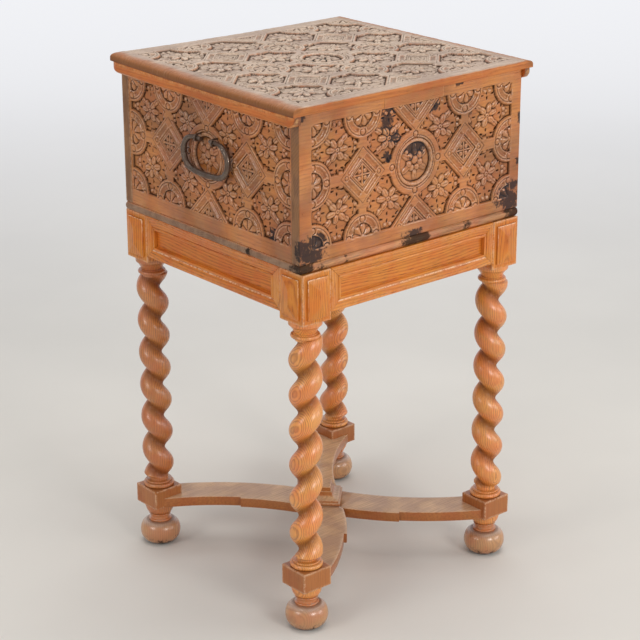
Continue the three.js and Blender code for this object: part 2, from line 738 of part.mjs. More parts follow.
// One arm, built for the leg at the front right and mirrored to the others: a curved board whose
// middle line is an arc from the centre to the leg, cut to the corner of the leg and mitred
// against its neighbours.
function arm(sx, sy) {
  const start = new THREE.Vector2(...armRoot);
  const finish = new THREE.Vector2(legX, -legY);
  const chord = finish.clone().sub(start);
  const outward = new THREE.Vector2(chord.y, -chord.x).normalize();
  const radius = chord.lengthSq() / (8 * armBow) + armBow / 2;
  const centre = start.clone().addScaledVector(chord, 0.5).addScaledVector(outward, armBow - radius);
  const from = start.clone().sub(centre).angle();
  const to = finish.clone().sub(centre).angle();
  const way = Math.sign(to - from);
  const overrun = (way * armWidth) / 2 / radius;
  const strip = (inner, outer, first, last) => {
    const outline = new THREE.Shape();
    outline.absarc(centre.x, centre.y, outer, first, last, way < 0);
    outline.absarc(centre.x, centre.y, inner, last, first, way > 0);
    outline.closePath();
    return new THREE.ExtrudeGeometry(outline, {
      depth: armThickness,
      bevelEnabled: false,
      curveSegments: 3 * arcSteps,
    });
  };
  const inner = radius - armWidth / 2;
  const outer = radius + armWidth / 2;
  const narrow = strip(inner, outer, from - overrun, to + overrun);
  const wide = strip(inner, outer + armShoulder, from - overrun, from + (way * armShoulderReach) / radius);
  const share = block([fit / 2, -standDepth, -1], [standWidth, -fit / 2, armThickness + 1]);
  const legGap = half + fit;
  const legSpace = block(
    [legX - legGap, -legY - legSquare, -1],
    [legX + legSquare, -legY + legGap, armThickness + 1],
  );
  const dowelHole = rodAlongZ(hubDowelRadius + fit, -1, armThickness + 1, 0, 0);
  const whole = cut(common(join(narrow, wide), share), legSpace, dowelHole);
  return mirrored(whole, sx, -sy).translate(0, 0, armZ);
}

// A geometry mirrored in X and Y by factors of 1 or -1, with its faces still pointing out.
function mirrored(geometry, x, y) {
  geometry.scale(x, y, 1);
  if (x * y < 0) {
    const index = geometry.index.array;
    for (let i = 0; i < index.length; i += 3) {
      [index[i], index[i + 1]] = [index[i + 1], index[i]];
    }
  }
  return geometry;
}

// The moulded centre block: a square turning, its corners towards the four sides of the stand,
// with a dowel below.
function hub() {
  const corner = Math.SQRT1_2;
  const wide = hubWidth * corner;
  const cap = hubCap * corner;
  const z = armTop + fit;
  const capZ = z + hubHeight - 8;
  const profile = [
    [0, z], [wide, z], [wide, z + 4], [wide - 4, z + 4.5], [wide - 4, z + 8], [wide - 8, z + 9],
    [wide - 15, z + 13], [cap + 3, capZ - 1], [cap, capZ], [cap, z + hubHeight - 1.5],
    [cap - 2.5, z + hubHeight], [0, z + hubHeight],
  ];
  return join(turned(profile, 4), rodAlongZ(hubDowelRadius, z - hubDowelLength, z + 2, 0, 0));
}

// The assembly

add('bottom_board', bottom(), stainedOak);
add('front_board', front(), carvedOak);
add('lock_patch', patchBox(0), patchOak);
add('back_board', back(), carvedOak);
add('left_end_board', end(-1), carvedOak);
add('right_end_board', end(1), carvedOak);
add('lid_board', lid(), weatheredOak);
for (const [name, side] of [['left', -1], ['right', 1]]) {
  add(`${name}_lid_cleat`, cleat(side), cleatOak);
  add(`${name}_hinge_lid_leaf`, lidLeaf(side * hingeSpacing / 2), iron);
  add(`${name}_hinge_back_leaf`, backLeaf(side * hingeSpacing / 2), iron);
  add(`${name}_hinge_pin`, hingePin(side * hingeSpacing / 2), iron);
  add(`${name}_handle_bail`, bail(side), iron);
  add(`${name}_handle_front_staple`, staple(side, stapleYs[0]), iron);
  add(`${name}_handle_back_staple`, staple(side, stapleYs[1]), iron);
}

// Each corner with its side in X and Y, the hand of its leg's twist and where the twist starts.
const corners = [
  { name: 'front_left', sx: -1, sy: -1, hand: 1, start: 240 },
  { name: 'front_right', sx: 1, sy: -1, hand: -1, start: 55 },
  { name: 'back_left', sx: -1, sy: 1, hand: -1, start: 124 },
  { name: 'back_right', sx: 1, sy: 1, hand: 1, start: 322 },
];
for (const { name, sx, sy, hand, start } of corners) {
  add(`${name}_leg`, leg(sx, sy, hand, THREE.MathUtils.degToRad(start)), standOak);
  add(`${name}_foot`, foot(sx, sy), standOak);
  add(`${name}_stretcher_arm`, arm(sx, sy), standOak);
  add(`${name}_lower_peg`, peg(sx, sy, pegHeights[0], 0), cleatOak);
  add(`${name}_upper_peg`, peg(sx, sy, pegHeights[1], 0), cleatOak);
}

for (const side of ['front', 'right', 'back', 'left']) {
  const centre = side === 'front' || side === 'back' ? legX : legY;
  add(`${side}_rail`, rail(side), standOak);
  add(`${side}_rail_frame`, railFrame(side), standOak);
  add(`${side}_jewel_1`, jewel(side, -centre), standOak);
  add(`${side}_jewel_2`, jewel(side, centre), standOak);
}
add('stretcher_centre_block', hub(), standOak);

export default part;
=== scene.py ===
"""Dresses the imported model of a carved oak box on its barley-twist stand.

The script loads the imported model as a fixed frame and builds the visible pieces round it: boards
carved as height fields, turned and twisted legs, mitred frames, forged iron and their oak and iron
finishes. Shapes are worked out in millimetres and put into meshes in metres.
"""

import math

import bmesh
import bpy
import numpy as np
from mathutils import Matrix, Vector


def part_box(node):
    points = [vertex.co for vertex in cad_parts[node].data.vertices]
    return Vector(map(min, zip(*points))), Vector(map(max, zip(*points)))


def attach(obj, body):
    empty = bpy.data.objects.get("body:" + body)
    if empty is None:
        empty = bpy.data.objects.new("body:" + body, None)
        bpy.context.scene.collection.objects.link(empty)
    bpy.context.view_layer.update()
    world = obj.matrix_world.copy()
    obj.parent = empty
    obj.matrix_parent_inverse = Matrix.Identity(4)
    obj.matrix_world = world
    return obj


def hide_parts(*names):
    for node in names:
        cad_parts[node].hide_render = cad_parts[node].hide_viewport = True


bl_info = {
    "name": "Carved Oak Box",
    "version": (1, 0, 0),
    "blender": (4, 5, 0),
    "location": "3D View > Sidebar > Oak Box",
    "description": "Carves and finishes an oak box on a barley-twist stand round its packed model",
    "category": "Object",
}

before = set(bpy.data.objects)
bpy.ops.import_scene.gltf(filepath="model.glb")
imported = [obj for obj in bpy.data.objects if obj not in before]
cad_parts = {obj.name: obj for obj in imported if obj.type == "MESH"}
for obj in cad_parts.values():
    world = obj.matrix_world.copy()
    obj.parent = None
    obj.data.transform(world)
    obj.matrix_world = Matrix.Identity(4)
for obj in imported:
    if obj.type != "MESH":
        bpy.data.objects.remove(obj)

# One millimetre in metres
MM = 0.001

SIDES = ("front", "right", "back", "left")
HANDS = (("left", -1), ("right", 1))

# Each corner's way in x and in y, the hand of its twist and the angle at which the twist starts
CORNERS = {
    "front_left": (-1, -1, 1, 240),
    "front_right": (1, -1, -1, 55),
    "back_left": (-1, 1, -1, 124),
    "back_right": (1, 1, 1, 322),
}


def extent(node):
    """Lowest and highest corner of a node at rest, in millimetres."""
    low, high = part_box(node)
    return np.array(low) / MM, np.array(high) / MM


def middle_and_half(node):
    """A node's middle and half its size at rest, in millimetres."""
    low, high = extent(node)
    return (low + high) / 2, (high - low) / 2


# Small formulas

def ease(value, start, end):
    """0 before start, 1 after end, and 3t^2 - 2t^3 in between."""
    t = np.clip((value - start) / (end - start), 0.0, 1.0)
    return t * t * (3.0 - 2.0 * t)


def mottle(u, v, size, seed):
    """Smooth random field from -1 to 1: random values on a square mesh of the given size, eased
    from corner to corner. The values repeat after 97 by 89 squares."""
    wide, tall = 97, 89
    table = np.random.default_rng(seed).uniform(-1.0, 1.0, (wide, tall))
    i = np.floor(u / size).astype(int)
    j = np.floor(v / size).astype(int)
    s = ease(u / size - i, 0.0, 1.0)
    t = ease(v / size - j, 0.0, 1.0)
    near, far = (table[i % wide, k % tall] * (1 - s) + table[(i + 1) % wide, k % tall] * s
                 for k in (j, j + 1))
    return near * (1 - t) + far * t


def softened(field, reach):
    """Mean of a field over a square of 2 * reach + 1 cells, from its running sums."""
    for axis in (0, 1):
        width = [(0, 0), (0, 0)]
        width[axis] = (reach + 1, reach)
        total = np.cumsum(np.pad(field, width, mode="edge"), axis=axis)
        upper = np.take(total, np.arange(2 * reach + 1, total.shape[axis]), axis=axis)
        lower = np.take(total, np.arange(0, total.shape[axis] - 2 * reach - 1), axis=axis)
        field = (upper - lower) / (2 * reach + 1)
    return field


def arc(middle, across, up, start, end, steps=6):
    """Points of an ellipse about a middle, from one angle to another in degrees."""
    angle = np.radians(np.linspace(start, end, steps + 1))
    return np.column_stack([middle[0] + across * np.cos(angle), middle[1] + up * np.sin(angle)])


def profile(*parts):
    """One line of points from single points and arcs, in order."""
    return np.vstack([np.atleast_2d(np.array(part, float)) for part in parts])


# Shells: a shell is a closed skin, held as points, four-sided faces, three-sided faces, its fields
# (one number for each point) and the place of its finish in the piece's list.

def shell(points, quads, triangles, fields=None, finish=0):
    """A shell with its faces turned outwards: where the volume summed over its faces is negative,
    every face is reversed."""
    corners = [points[quads[:, [0, 1, 2]]], points[quads[:, [0, 2, 3]]], points[triangles]]
    faces = np.vstack(corners)
    volume = np.einsum("ij,ij->i", faces[:, 0], np.cross(faces[:, 1], faces[:, 2])).sum()
    if volume < 0:
        quads, triangles = quads[:, ::-1], triangles[:, ::-1]
    return {"points": points, "quads": quads, "triangles": triangles,
            "fields": fields or {}, "finish": finish}


def loft(rings, fields=None, finish=0):
    """The skin over rings of points, an array of ring, place in the ring and coordinate. Each ring
    is closed and joined to the next one, and the ends are closed by fans to their middles."""
    count, size, _ = rings.shape
    index = np.arange(count * size).reshape(count, size)
    ahead = np.roll(index, -1, axis=1)
    quads = np.stack([index[:-1], ahead[:-1], ahead[1:], index[1:]], axis=-1).reshape(-1, 4)
    first, last = count * size, count * size + 1
    start = np.stack([np.full(size, first), ahead[0], index[0]], axis=-1)
    end = np.stack([np.full(size, last), index[-1], ahead[-1]], axis=-1)
    middles = [rings[0].mean(axis=0), rings[-1].mean(axis=0)]
    points = np.vstack([rings.reshape(-1, 3), *middles])
    fields = {key: np.append(value, [0.0, 0.0]) for key, value in (fields or {}).items()}
    return shell(points, quads, np.vstack([start, end]), fields, finish)


def circles(x, y, radius, height, sides):
    """Rings about an upright axis. There is one height for each ring, and one radius for each ring
    or for each of its places."""
    angle = np.linspace(0.0, 2 * np.pi, sides, endpoint=False)
    return np.stack([
        x + radius * np.cos(angle), y + radius * np.sin(angle), height[:, None] + 0 * angle,
    ], axis=-1)


def turned(line, x, y, sides=56, finish=0):
    """A turning about an upright axis: each point (radius, height) of the line becomes a circle."""
    return loft(circles(x, y, line[:, :1], line[:, 1], sides), finish=finish)


# Where the middle line of a rounded arris lies, as a share of the arris
ARRIS_MIDDLE = 0.41


def steps_along(length, arris, reach):
    """Places along an edge of a board: close together in the rounded arris, one past it, and the
    same from the other end."""
    near = [0.0, ARRIS_MIDDLE * arris, arris, arris + reach]
    return np.array(near + [length - place for place in reversed(near)])


def board(low, high, arris=0.8, reach=3.0, finish=0):
    """A box with rounded arrises. Points of the plain box are drawn to the box that lies one arris
    inside it, and set out again by the arris along the line between the two. The field of wear and
    painted highlight is 1 on the arris and 0 from the given reach inwards."""
    low, high = np.array(low, float), np.array(high, float)
    order = np.argsort(-(high - low))
    size = (high - low)[order]
    core, sliver, spare = size[2] / 2, 0.02, 0.05
    wide = steps_along(size[1], arris, reach)
    deep = steps_along(size[2], arris, min(reach, core - arris - spare))
    edge = np.concatenate([
        np.column_stack([wide[:-1], 0 * wide[:-1]]),
        np.column_stack([size[1] + 0 * deep[:-1], deep[:-1]]),
        np.column_stack([wide[:0:-1], size[2] + 0 * wide[:0:-1]]),
        np.column_stack([0 * deep[:0:-1], deep[:0:-1]]),
    ])
    inset = np.array([min(arris + reach, core - sliver), arris, ARRIS_MIDDLE * arris])
    along = steps_along(size[0], arris, reach)
    place = np.concatenate([0 * inset, along, size[0] + 0 * inset])
    depth = np.concatenate([inset, 0 * along, inset[::-1]])
    centre = size[1:] / 2
    rings = np.empty((len(place), len(edge), 3))
    rings[..., 0] = place[:, None]
    for axis in (0, 1):
        out = edge[:, axis][None, :] - centre[axis]
        room = centre[axis] - depth[:, None]
        rings[..., axis + 1] = centre[axis] + np.clip(out, -room, room)
    heart = np.clip(rings, arris, size - arris)
    away = rings - heart
    length = np.linalg.norm(away, axis=-1, keepdims=True)
    rounded = heart + away * arris / np.maximum(length, 1e-9)
    distance = np.sort(np.minimum(rings, size - rings), axis=-1)[..., 1]
    # Arrises lightened: wear and a painted highlight
    worn = 1.0 - ease(distance, arris * 0.6, arris + reach)
    points = np.empty_like(rounded)
    points[..., order] = rounded
    return loft(points + low, {"worn": worn}, finish)


def slab(u, v, height, fields, thickness, place):
    """A board with a height field on its face: a grid of points (u, v, height), a wall down from
    the grid's border in four loops, and a flat back closed by a fan."""
    rows, columns = height.shape
    lip, chamfer, inset = 0.9, 0.7, 1.0
    index = np.arange(rows * columns).reshape(rows, columns)
    grid_u, grid_v = np.meshgrid(u, v)
    border = np.concatenate([
        index[0, :-1], index[:-1, -1], index[-1, :0:-1], index[:0:-1, 0],
    ])
    edge_u, edge_v, edge_w = (f.ravel()[border] for f in (grid_u, grid_v, height))
    middle_u, middle_v = (u[0] + u[-1]) / 2, (v[0] + v[-1]) / 2
    inside_u, inside_v = (
        edge - np.sign(edge - middle) * np.minimum(abs(edge - middle), inset)
        for edge, middle in ((edge_u, middle_u), (edge_v, middle_v)))
    back = 0 * edge_w - thickness
    loops = [(edge_u, edge_v, edge_w - lip), (edge_u, edge_v, back + chamfer),
             (edge_u, edge_v, back), (inside_u, inside_v, back)]
    points = [np.column_stack([grid_u.ravel(), grid_v.ravel(), height.ravel()])]
    quads = [grid_faces(index)]
    last = border
    for number, loop in enumerate(loops):
        points.append(np.column_stack(loop))
        ring = rows * columns + number * len(border) + np.arange(len(border))
        quads.append(np.stack([last, ring, np.roll(ring, -1), np.roll(last, -1)], axis=-1))
        last = ring
    centre = rows * columns + len(loops) * len(border)
    points.append([[middle_u, middle_v, -thickness]])
    fan = np.stack([last, np.full(len(last), centre), np.roll(last, -1)], axis=-1)
    points = np.vstack(points)
    whole = {}
    for key, value in fields.items():
        rest = np.zeros(len(points) - value.size)
        rest[:len(border)] = value.ravel()[border]
        whole[key] = np.concatenate([value.ravel(), rest])
    return shell(place(points), np.vstack(quads), fan, whole)


def grid_faces(index):
    """Four-sided faces between the points of a grid, given by their numbers."""
    return np.stack([index[:-1, :-1], index[:-1, 1:], index[1:, 1:], index[1:, :-1]],
                    axis=-1).reshape(-1, 4)


def piece(node, how, shells, finishes, body="root", crease=38.0, replacing=True):
    """Puts shells into one mesh object, in metres. It is named for a node and for how it is made,
    rides on a body and takes the node's place. Edges between faces that meet at more than the
    crease angle, in degrees, are drawn sharp, and with a crease of 0 none."""
    name = f"{node}_{how}"
    shift = np.cumsum([0] + [len(s["points"]) for s in shells])
    points = np.vstack([s["points"] for s in shells]) * MM
    quads, triangles = (np.vstack([s[key] + n for s, n in zip(shells, shift)])
                        for key in ("quads", "triangles"))
    kinds = [np.repeat([s["finish"] for s in shells], [len(s[key]) for s in shells])
             for key in ("quads", "triangles")]
    mesh = bpy.data.meshes.new(name)
    mesh.vertices.add(len(points))
    mesh.vertices.foreach_set("co", points.astype(np.float32).ravel())
    corners = np.concatenate([quads.ravel(), triangles.ravel()]).astype(np.int32)
    mesh.loops.add(len(corners))
    mesh.loops.foreach_set("vertex_index", corners)
    starts = np.concatenate([
        4 * np.arange(len(quads)), 4 * len(quads) + 3 * np.arange(len(triangles)),
    ]).astype(np.int32)
    mesh.polygons.add(len(starts))
    mesh.polygons.foreach_set("loop_start", starts)
    mesh.polygons.foreach_set("material_index", np.concatenate(kinds).astype(np.int32))
    mesh.polygons.foreach_set("use_smooth", np.ones(len(starts), bool))
    mesh.update(calc_edges=True)
    mesh.validate()
    if crease:
        mesh.set_sharp_from_angle(angle=math.radians(crease))
    for key in sorted({key for s in shells for key in s["fields"]}):
        values = np.concatenate([
            s["fields"].get(key, np.zeros(len(s["points"]))) for s in shells
        ])
        layer = mesh.attributes.new(key, "FLOAT", "POINT")
        layer.data.foreach_set("value", values.astype(np.float32))
    for wanted in finishes:
        mesh.materials.append(finish(wanted))
    made = bpy.data.objects.new(name, mesh)
    bpy.context.scene.collection.objects.link(made)
    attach(made, body)
    if replacing:
        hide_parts(node)
    return made


def turn(points, side):
    """Points built for the front, turned about the stand's axis to the given side."""
    angle = {"front": 0.0, "right": 0.5, "back": 1.0, "left": -0.5}[side] * np.pi
    c, s = round(math.cos(angle)), round(math.sin(angle))
    x, y = points[..., 0], points[..., 1]
    return np.stack([c * x - s * y, s * x + c * y, points[..., 2]], axis=-1)


# Finishes

def paint(red, green, blue):
    """A colour as seen on a screen, 0 to 255, as the linear colour that shaders take."""
    values = np.array([red, green, blue]) / 255.0
    linear = np.where(values <= 0.04045, values / 12.92, ((values + 0.055) / 1.055) ** 2.4)
    return tuple(float(v) for v in linear)


def darkened(colour, share):
    """A linear colour with every channel scaled down."""
    return tuple(share * value for value in colour)


class Recipe:
    """A finish being wired: each call adds one node and gives back its output."""

    def __init__(self, name):
        self.material = bpy.data.materials.new(name)
        self.material.use_nodes = True
        self.tree = self.material.node_tree
        self.shader = next(n for n in self.tree.nodes if n.type == "BSDF_PRINCIPLED")

    def node(self, kind, inputs=(), output=0, **settings):
        """A node of a kind, with its inputs fed and its settings set."""
        made = self.tree.nodes.new(kind)
        for key, value in settings.items():
            setattr(made, key, value)
        for key, value in dict(inputs).items():
            self.feed(made.inputs[key], value)
        return made.outputs[output]

    def feed(self, socket, value):
        """Links a socket to another node's output, or sets it to a plain value."""
        if isinstance(value, bpy.types.NodeSocket):
            self.tree.links.new(value, socket)
        elif socket.type == "RGBA" and len(value) == 3:
            socket.default_value = (*value, 1.0)
        else:
            socket.default_value = value

    def sum(self, kind, first, second=0.0, clamp=False):
        """One sum of a given kind. The next four are its common kinds."""
        inputs = {0: first, 1: second}
        return self.node("ShaderNodeMath", inputs, operation=kind, use_clamp=clamp)

    def plus(self, first, second, clamp=False):
        return self.sum("ADD", first, second, clamp)

    def minus(self, first, second, clamp=False):
        return self.sum("SUBTRACT", first, second, clamp)

    def times(self, first, second, clamp=False):
        return self.sum("MULTIPLY", first, second, clamp)

    def larger(self, first, second):
        return self.sum("MAXIMUM", first, second)

    def blend(self, share, first, second):
        """The first colour, turned into the second by the share."""
        inputs = {0: share, 6: first, 7: second}
        return self.node("ShaderNodeMix", inputs, 2, data_type="RGBA")

    def between(self, value, low, high):
        """0 at low, 1 at high, eased in between."""
        inputs = {0: value, 1: low, 2: high, 3: 0.0, 4: 1.0}
        return self.node("ShaderNodeMapRange", inputs, interpolation_type="SMOOTHSTEP")

    def scaled(self, vector, factors):
        """A vector with its three parts multiplied."""
        return self.node("ShaderNodeVectorMath", {0: vector, 1: factors}, operation="MULTIPLY")

    def noise(self, vector, scale=1.0, detail=2.0, roughness=0.5):
        """Random clouds, from 0 to 1. detail is how many finer ones lie on top."""
        inputs = {"Vector": vector, "Scale": scale, "Detail": detail, "Roughness": roughness}
        return self.node("ShaderNodeTexNoise", inputs)

    def field(self, name):
        """A number kept at each point of the mesh."""
        return self.node("ShaderNodeAttribute", output=2, attribute_name=name)

    def raised(self, height, distance, strength):
        """The surface's direction, tilted by a height."""
        inputs = {"Height": height, "Distance": distance, "Strength": strength}
        return self.node("ShaderNodeBump", inputs)

    def settle(self, colour, roughness, normal, **values):
        """Feeds the shader. Plain numbers are set on its own sockets."""
        self.feed(self.shader.inputs["Base Color"], colour)
        self.feed(self.shader.inputs["Roughness"], roughness)
        self.feed(self.shader.inputs["Normal"], normal)
        for key, value in values.items():
            self.feed(self.shader.inputs[key.replace("_", " ")], value)
        return self.material


def oak(name, light, dark, along, **wish):
    """Oak cut from the solid: growth rings are cylinders about a heart line that runs beside the
    piece, along its grain, and are drawn as saw-toothed bands of the distance to that line. Pores
    and streaks are noise stretched along the grain. Where the face looks along the grain it is end
    grain, which is darker, and where it looks up it may turn grey, part weathering and part painted
    sheen. Dirt with painted shade in the recesses, wear with painted highlights on the edges and
    stains lie on top."""
    # Defaults. The colour for recesses is dirt with painted shade, the colour for edges is wear with
    # painted highlights, and the grey of faces that look up is weathering with a painted sheen.
    want = {"ring": 2.6, "heart": (0.06, 0.09), "figure": 0.55, "streak": 0.5, "pores": 0.5,
            "gloss": 0.42, "grey_and_sheen": (), "grey_and_sheen_share": 0.9, "end": (92, 64, 46), "end_share": 0.75,
            "hollow": (50, 27, 14), "worn": (222, 168, 118), "wear_and_highlight_share": 0.5, "sway": 0.004,
            "patina": 0.35, "red": 0.3, "coat": 0.0, "bump": 1.0, "stain": (30, 27, 26),
            "dirt_and_shade_share": 0.85, "specular": 0.5, "edge": (142, 88, 42), "coat_gloss": 0.16}
    want.update(wish)
    light, dark = paint(*light), paint(*dark)
    deep = darkened(dark, 0.35)
    r = Recipe(name)
    space = r.node("ShaderNodeTexCoord", output=3)
    facing = space.node.outputs[1]
    way = "XYZ".index(along)
    split = r.node("ShaderNodeSeparateXYZ", {0: space}).node
    first, second = [split.outputs[k] for k in range(3) if k != way]
    line = r.node("ShaderNodeCombineXYZ", {0: split.outputs[way], 1: first, 2: second})
    normal_split = r.node("ShaderNodeSeparateXYZ", {0: facing}).node
    up = normal_split.outputs[2]
    endwise = r.sum("ABSOLUTE", normal_split.outputs[way])

    # Growth rings
    slow = r.noise(r.scaled(line, (5.0, 16.0, 16.0)))
    slower = r.noise(r.scaled(line, (3.0, 9.0, 9.0)), scale=1.7, detail=1.0)
    off = [r.plus(r.minus(place, heart), r.times(r.minus(noise, 0.5), want["sway"] * 4))
           for place, heart, noise in zip((first, second), want["heart"], (slow, slower))]
    far = r.sum("SQRT", r.plus(r.times(off[0], off[0]), r.times(off[1], off[1])))
    rough_ring = r.noise(r.scaled(line, (10.0, 160.0, 160.0)))
    count = r.plus(r.times(far, 1.0 / (want["ring"] * MM)), r.times(rough_ring, 0.7))
    phase = r.sum("FRACT", count)
    early = r.minus(1.0, r.between(phase, 0.06, 0.55))
    late = r.between(phase, 0.8, 1.0)
    band = r.larger(early, r.times(late, 0.6))

    # Streaks and pores
    long_noise = r.noise(r.scaled(line, (14.0, 330.0, 330.0)), detail=4.0, roughness=0.65)
    streak = r.between(long_noise, 0.36, 0.68)
    fine = r.noise(r.scaled(line, (55.0, 760.0, 760.0)))
    open_share = r.minus(r.plus(r.times(early, 0.75), 0.25), endwise, clamp=True)
    pore = r.times(r.between(fine, 0.56, 0.68), open_share)
    cloud = r.noise(space, scale=11.0, detail=3.0)
    patch = r.between(r.noise(space, scale=23.0, detail=4.0, roughness=0.6), 0.4, 0.62)
    share = r.plus(r.times(band, want["figure"]), r.times(streak, want["streak"]), clamp=True)
    colour = r.blend(share, light, dark)
    colour = r.blend(r.times(pore, want["pores"]), colour, deep)
    clouded = r.times(r.between(cloud, 0.35, 0.7), want["patina"])
    colour = r.blend(clouded, colour, darkened(dark, 0.62))
    colour = r.blend(r.times(patch, want["red"]), colour, (light[0] * 0.85, dark[1], dark[2]))

    # End grain, and faces that look up turned grey, partly weathered and partly painted sheen
    speck = r.noise(space, scale=260.0, detail=3.0, roughness=0.6)
    cut_end = r.times(r.between(endwise, 0.5, 0.9), want["end_share"])
    blurred = r.between(r.noise(r.scaled(space, (90.0, 90.0, 26.0)), detail=3.0), 0.42, 0.62)
    sawn = r.plus(r.times(band, 0.25), r.times(blurred, 0.45))
    colour = r.blend(cut_end, colour, r.blend(sawn, paint(*want["end"]), deep))
    if want["grey_and_sheen"]:
        pale, dull = (paint(*tone) for tone in want["grey_and_sheen"])
        ends = r.field("ends")
        level = r.plus(up, r.times(r.minus(speck, 0.5), 0.25))
        # Painted sheen: faces that look up are turned pale grey as if reflecting the bright
        # surroundings, on top of weathering and dust
        lying = r.times(r.between(level, 0.45, 0.96), want["grey_and_sheen_share"])
        lying = r.times(lying, r.minus(1.0, ends), clamp=True)
        grey_and_sheen_colour = r.blend(share, pale, dull)
        grey_and_sheen_colour = r.blend(r.times(r.between(cloud, 0.42, 0.7), 0.4), grey_and_sheen_colour, dull)
        grey_and_sheen_colour = r.blend(r.times(patch, 0.35), grey_and_sheen_colour, paint(146, 126, 116))
        grey_and_sheen_colour = r.blend(r.times(pore, want["pores"]), grey_and_sheen_colour, darkened(dull, 0.4))
        colour = r.blend(lying, colour, grey_and_sheen_colour)
        rim = r.times(r.times(ends, 0.9), r.between(speck, 0.1, 0.55))
        colour = r.blend(rim, colour, paint(*want["edge"]))

    # Dirt with painted shade, wear with painted highlights, and stains
    recess, edge, spot = (r.field(key) for key in ("hollow", "worn", "stain"))
    blot = r.noise(space, scale=85.0)
    # Painted shade: recesses darkened by the colour for recesses, together with dirt
    hollow = r.times(recess, r.plus(0.7, r.times(speck, 0.6)), clamp=True)
    colour = r.blend(r.times(hollow, want["dirt_and_shade_share"]), colour, paint(*want["hollow"]))
    # Painted highlight: edges and petals lightened by the colour for edges, together with wear
    worn = r.times(edge, r.between(r.plus(speck, r.times(blot, 0.5)), 0.55, 0.9))
    colour = r.blend(r.times(worn, want["wear_and_highlight_share"], clamp=True), colour, paint(*want["worn"]))
    soaked = r.plus(spot, r.times(r.minus(r.plus(speck, blot), 1.0), 1.5))
    soaked = r.plus(soaked, r.minus(r.times(recess, 0.5), r.times(edge, 0.45)))
    stain = r.times(r.between(soaked, 0.14, 0.74), r.between(spot, 0.02, 0.2))
    colour = r.blend(r.times(stain, 0.88), colour, paint(*want["stain"]))

    # Gloss and pores in relief
    roughness = r.plus(r.plus(want["gloss"] - 0.07, r.times(speck, 0.18)),
                       r.times(r.larger(hollow, pore), 0.25), clamp=True)
    relief = r.minus(r.times(speck, 0.35), r.plus(r.times(pore, 0.8), r.times(streak, 0.5)))
    clean = r.minus(1.0, r.times(r.larger(hollow, stain), 0.85))
    coat = r.plus(want["coat"], r.times(r.field("shine"), 0.5))
    return r.settle(colour, roughness, r.raised(relief, 0.00028 * want["bump"], 0.8),
                    Specular_IOR_Level=r.times(clean, want["specular"]),
                    Coat_Weight=r.times(clean, coat), Coat_Roughness=want["coat_gloss"])


def forged_iron(name):
    """Old wrought iron: dark, dented by the hammer, with brown rust where it isn't handled."""
    r = Recipe(name)
    space = r.node("ShaderNodeTexCoord", output=3)
    dents = r.noise(space, scale=130.0)
    grit = r.noise(space, scale=900.0, detail=3.0, roughness=0.65)
    rust = r.between(r.plus(r.noise(space, scale=60.0, detail=4.0), r.times(grit, 0.25)), 0.55, 0.8)
    colour = r.blend(grit, paint(84, 70, 60), paint(132, 116, 104))
    colour = r.blend(r.times(rust, 0.5), colour, paint(84, 54, 38))
    rough = r.plus(0.2, r.plus(r.times(grit, 0.15), r.times(rust, 0.25)))
    height = r.plus(dents, r.times(grit, 0.2))
    return r.settle(colour, rough, r.raised(height, 0.0005, 0.6), Metallic=0.75,
                    Specular_IOR_Level=1.0)


# Carving

# Farther than any distance on a face
FAR = 99.0


class Relief:
    """Low relief being drawn over the grid of a face. It holds the distance to the nearest strap,
    which is negative inside it, the depth of the cuts in the straps, the height of what stands in
    them, and where clean channels run, from 0 to 1."""

    def __init__(self, u, v, ground):
        self.u, self.v = np.meshgrid(u, v)
        self.ground = ground
        shape = self.u.shape
        self.strap, self.rises = np.full(shape, FAR), np.full(shape, -FAR)
        self.cuts, self.flutes = np.zeros(shape), np.zeros(shape)

    def stand(self, distance):
        """Adds a strap, by the distance to it."""
        self.strap = np.minimum(self.strap, distance)

    def cut(self, depth):
        """Adds a cut."""
        self.cuts = np.maximum(self.cuts, depth)

    def rise(self, height):
        """Adds a raised form, by its height over the face."""
        self.rises = np.maximum(self.rises, height)

    def channel(self, share, depth=3.4):
        """Adds a clean channel, by its section in units of its depth."""
        self.cut(depth * share)
        self.flutes = np.maximum(self.flutes, share)

    def bead(self, near, radius, top, sunk, dip, rim):
        """Adds a bead on a sunk seat, in a dip that ends between the two radii of its rim. near is
        the distance to its middle."""
        self.cut(dip * (1 - ease(near, *rim)))
        self.rise(dome(near, radius, top) - sunk)


def quarter_turns(across, up):
    """Four places on an ellipse, on the right, above, on the left and below."""
    return [(across * math.cos(k * math.pi / 2), up * math.sin(k * math.pi / 2)) for k in range(4)]


def round_motif(relief, du, dv):
    """A ring about a rosette, with four channels on its diagonals and beads between them."""
    ring, channels, beads, line = 38.0, 27.0, 28.8, 34.4
    seat_depth, seat_wall, line_depth = 3.2, (21.6, 22.4), 1.3
    distance = np.hypot(du, dv)
    relief.stand(distance - ring)
    relief.channel(gouge(distance, np.arctan2(dv, du), channels, half=4.2, spread=0.46))
    relief.cut(seat_depth * (1.0 - ease(distance, *seat_wall)))
    relief.cut(line_depth * scratch(distance - line, half=0.8))
    relief.rise(rosette(du, dv, radius=20.6, petals=7, twist=0.4) - 3.0)
    for at_u, at_v in quarter_turns(beads, beads):
        relief.bead(np.hypot(du - at_u, dv - at_v), radius=5.3, top=2.2, sunk=1.9, dip=1.5,
                    rim=(5.6, 7.4))


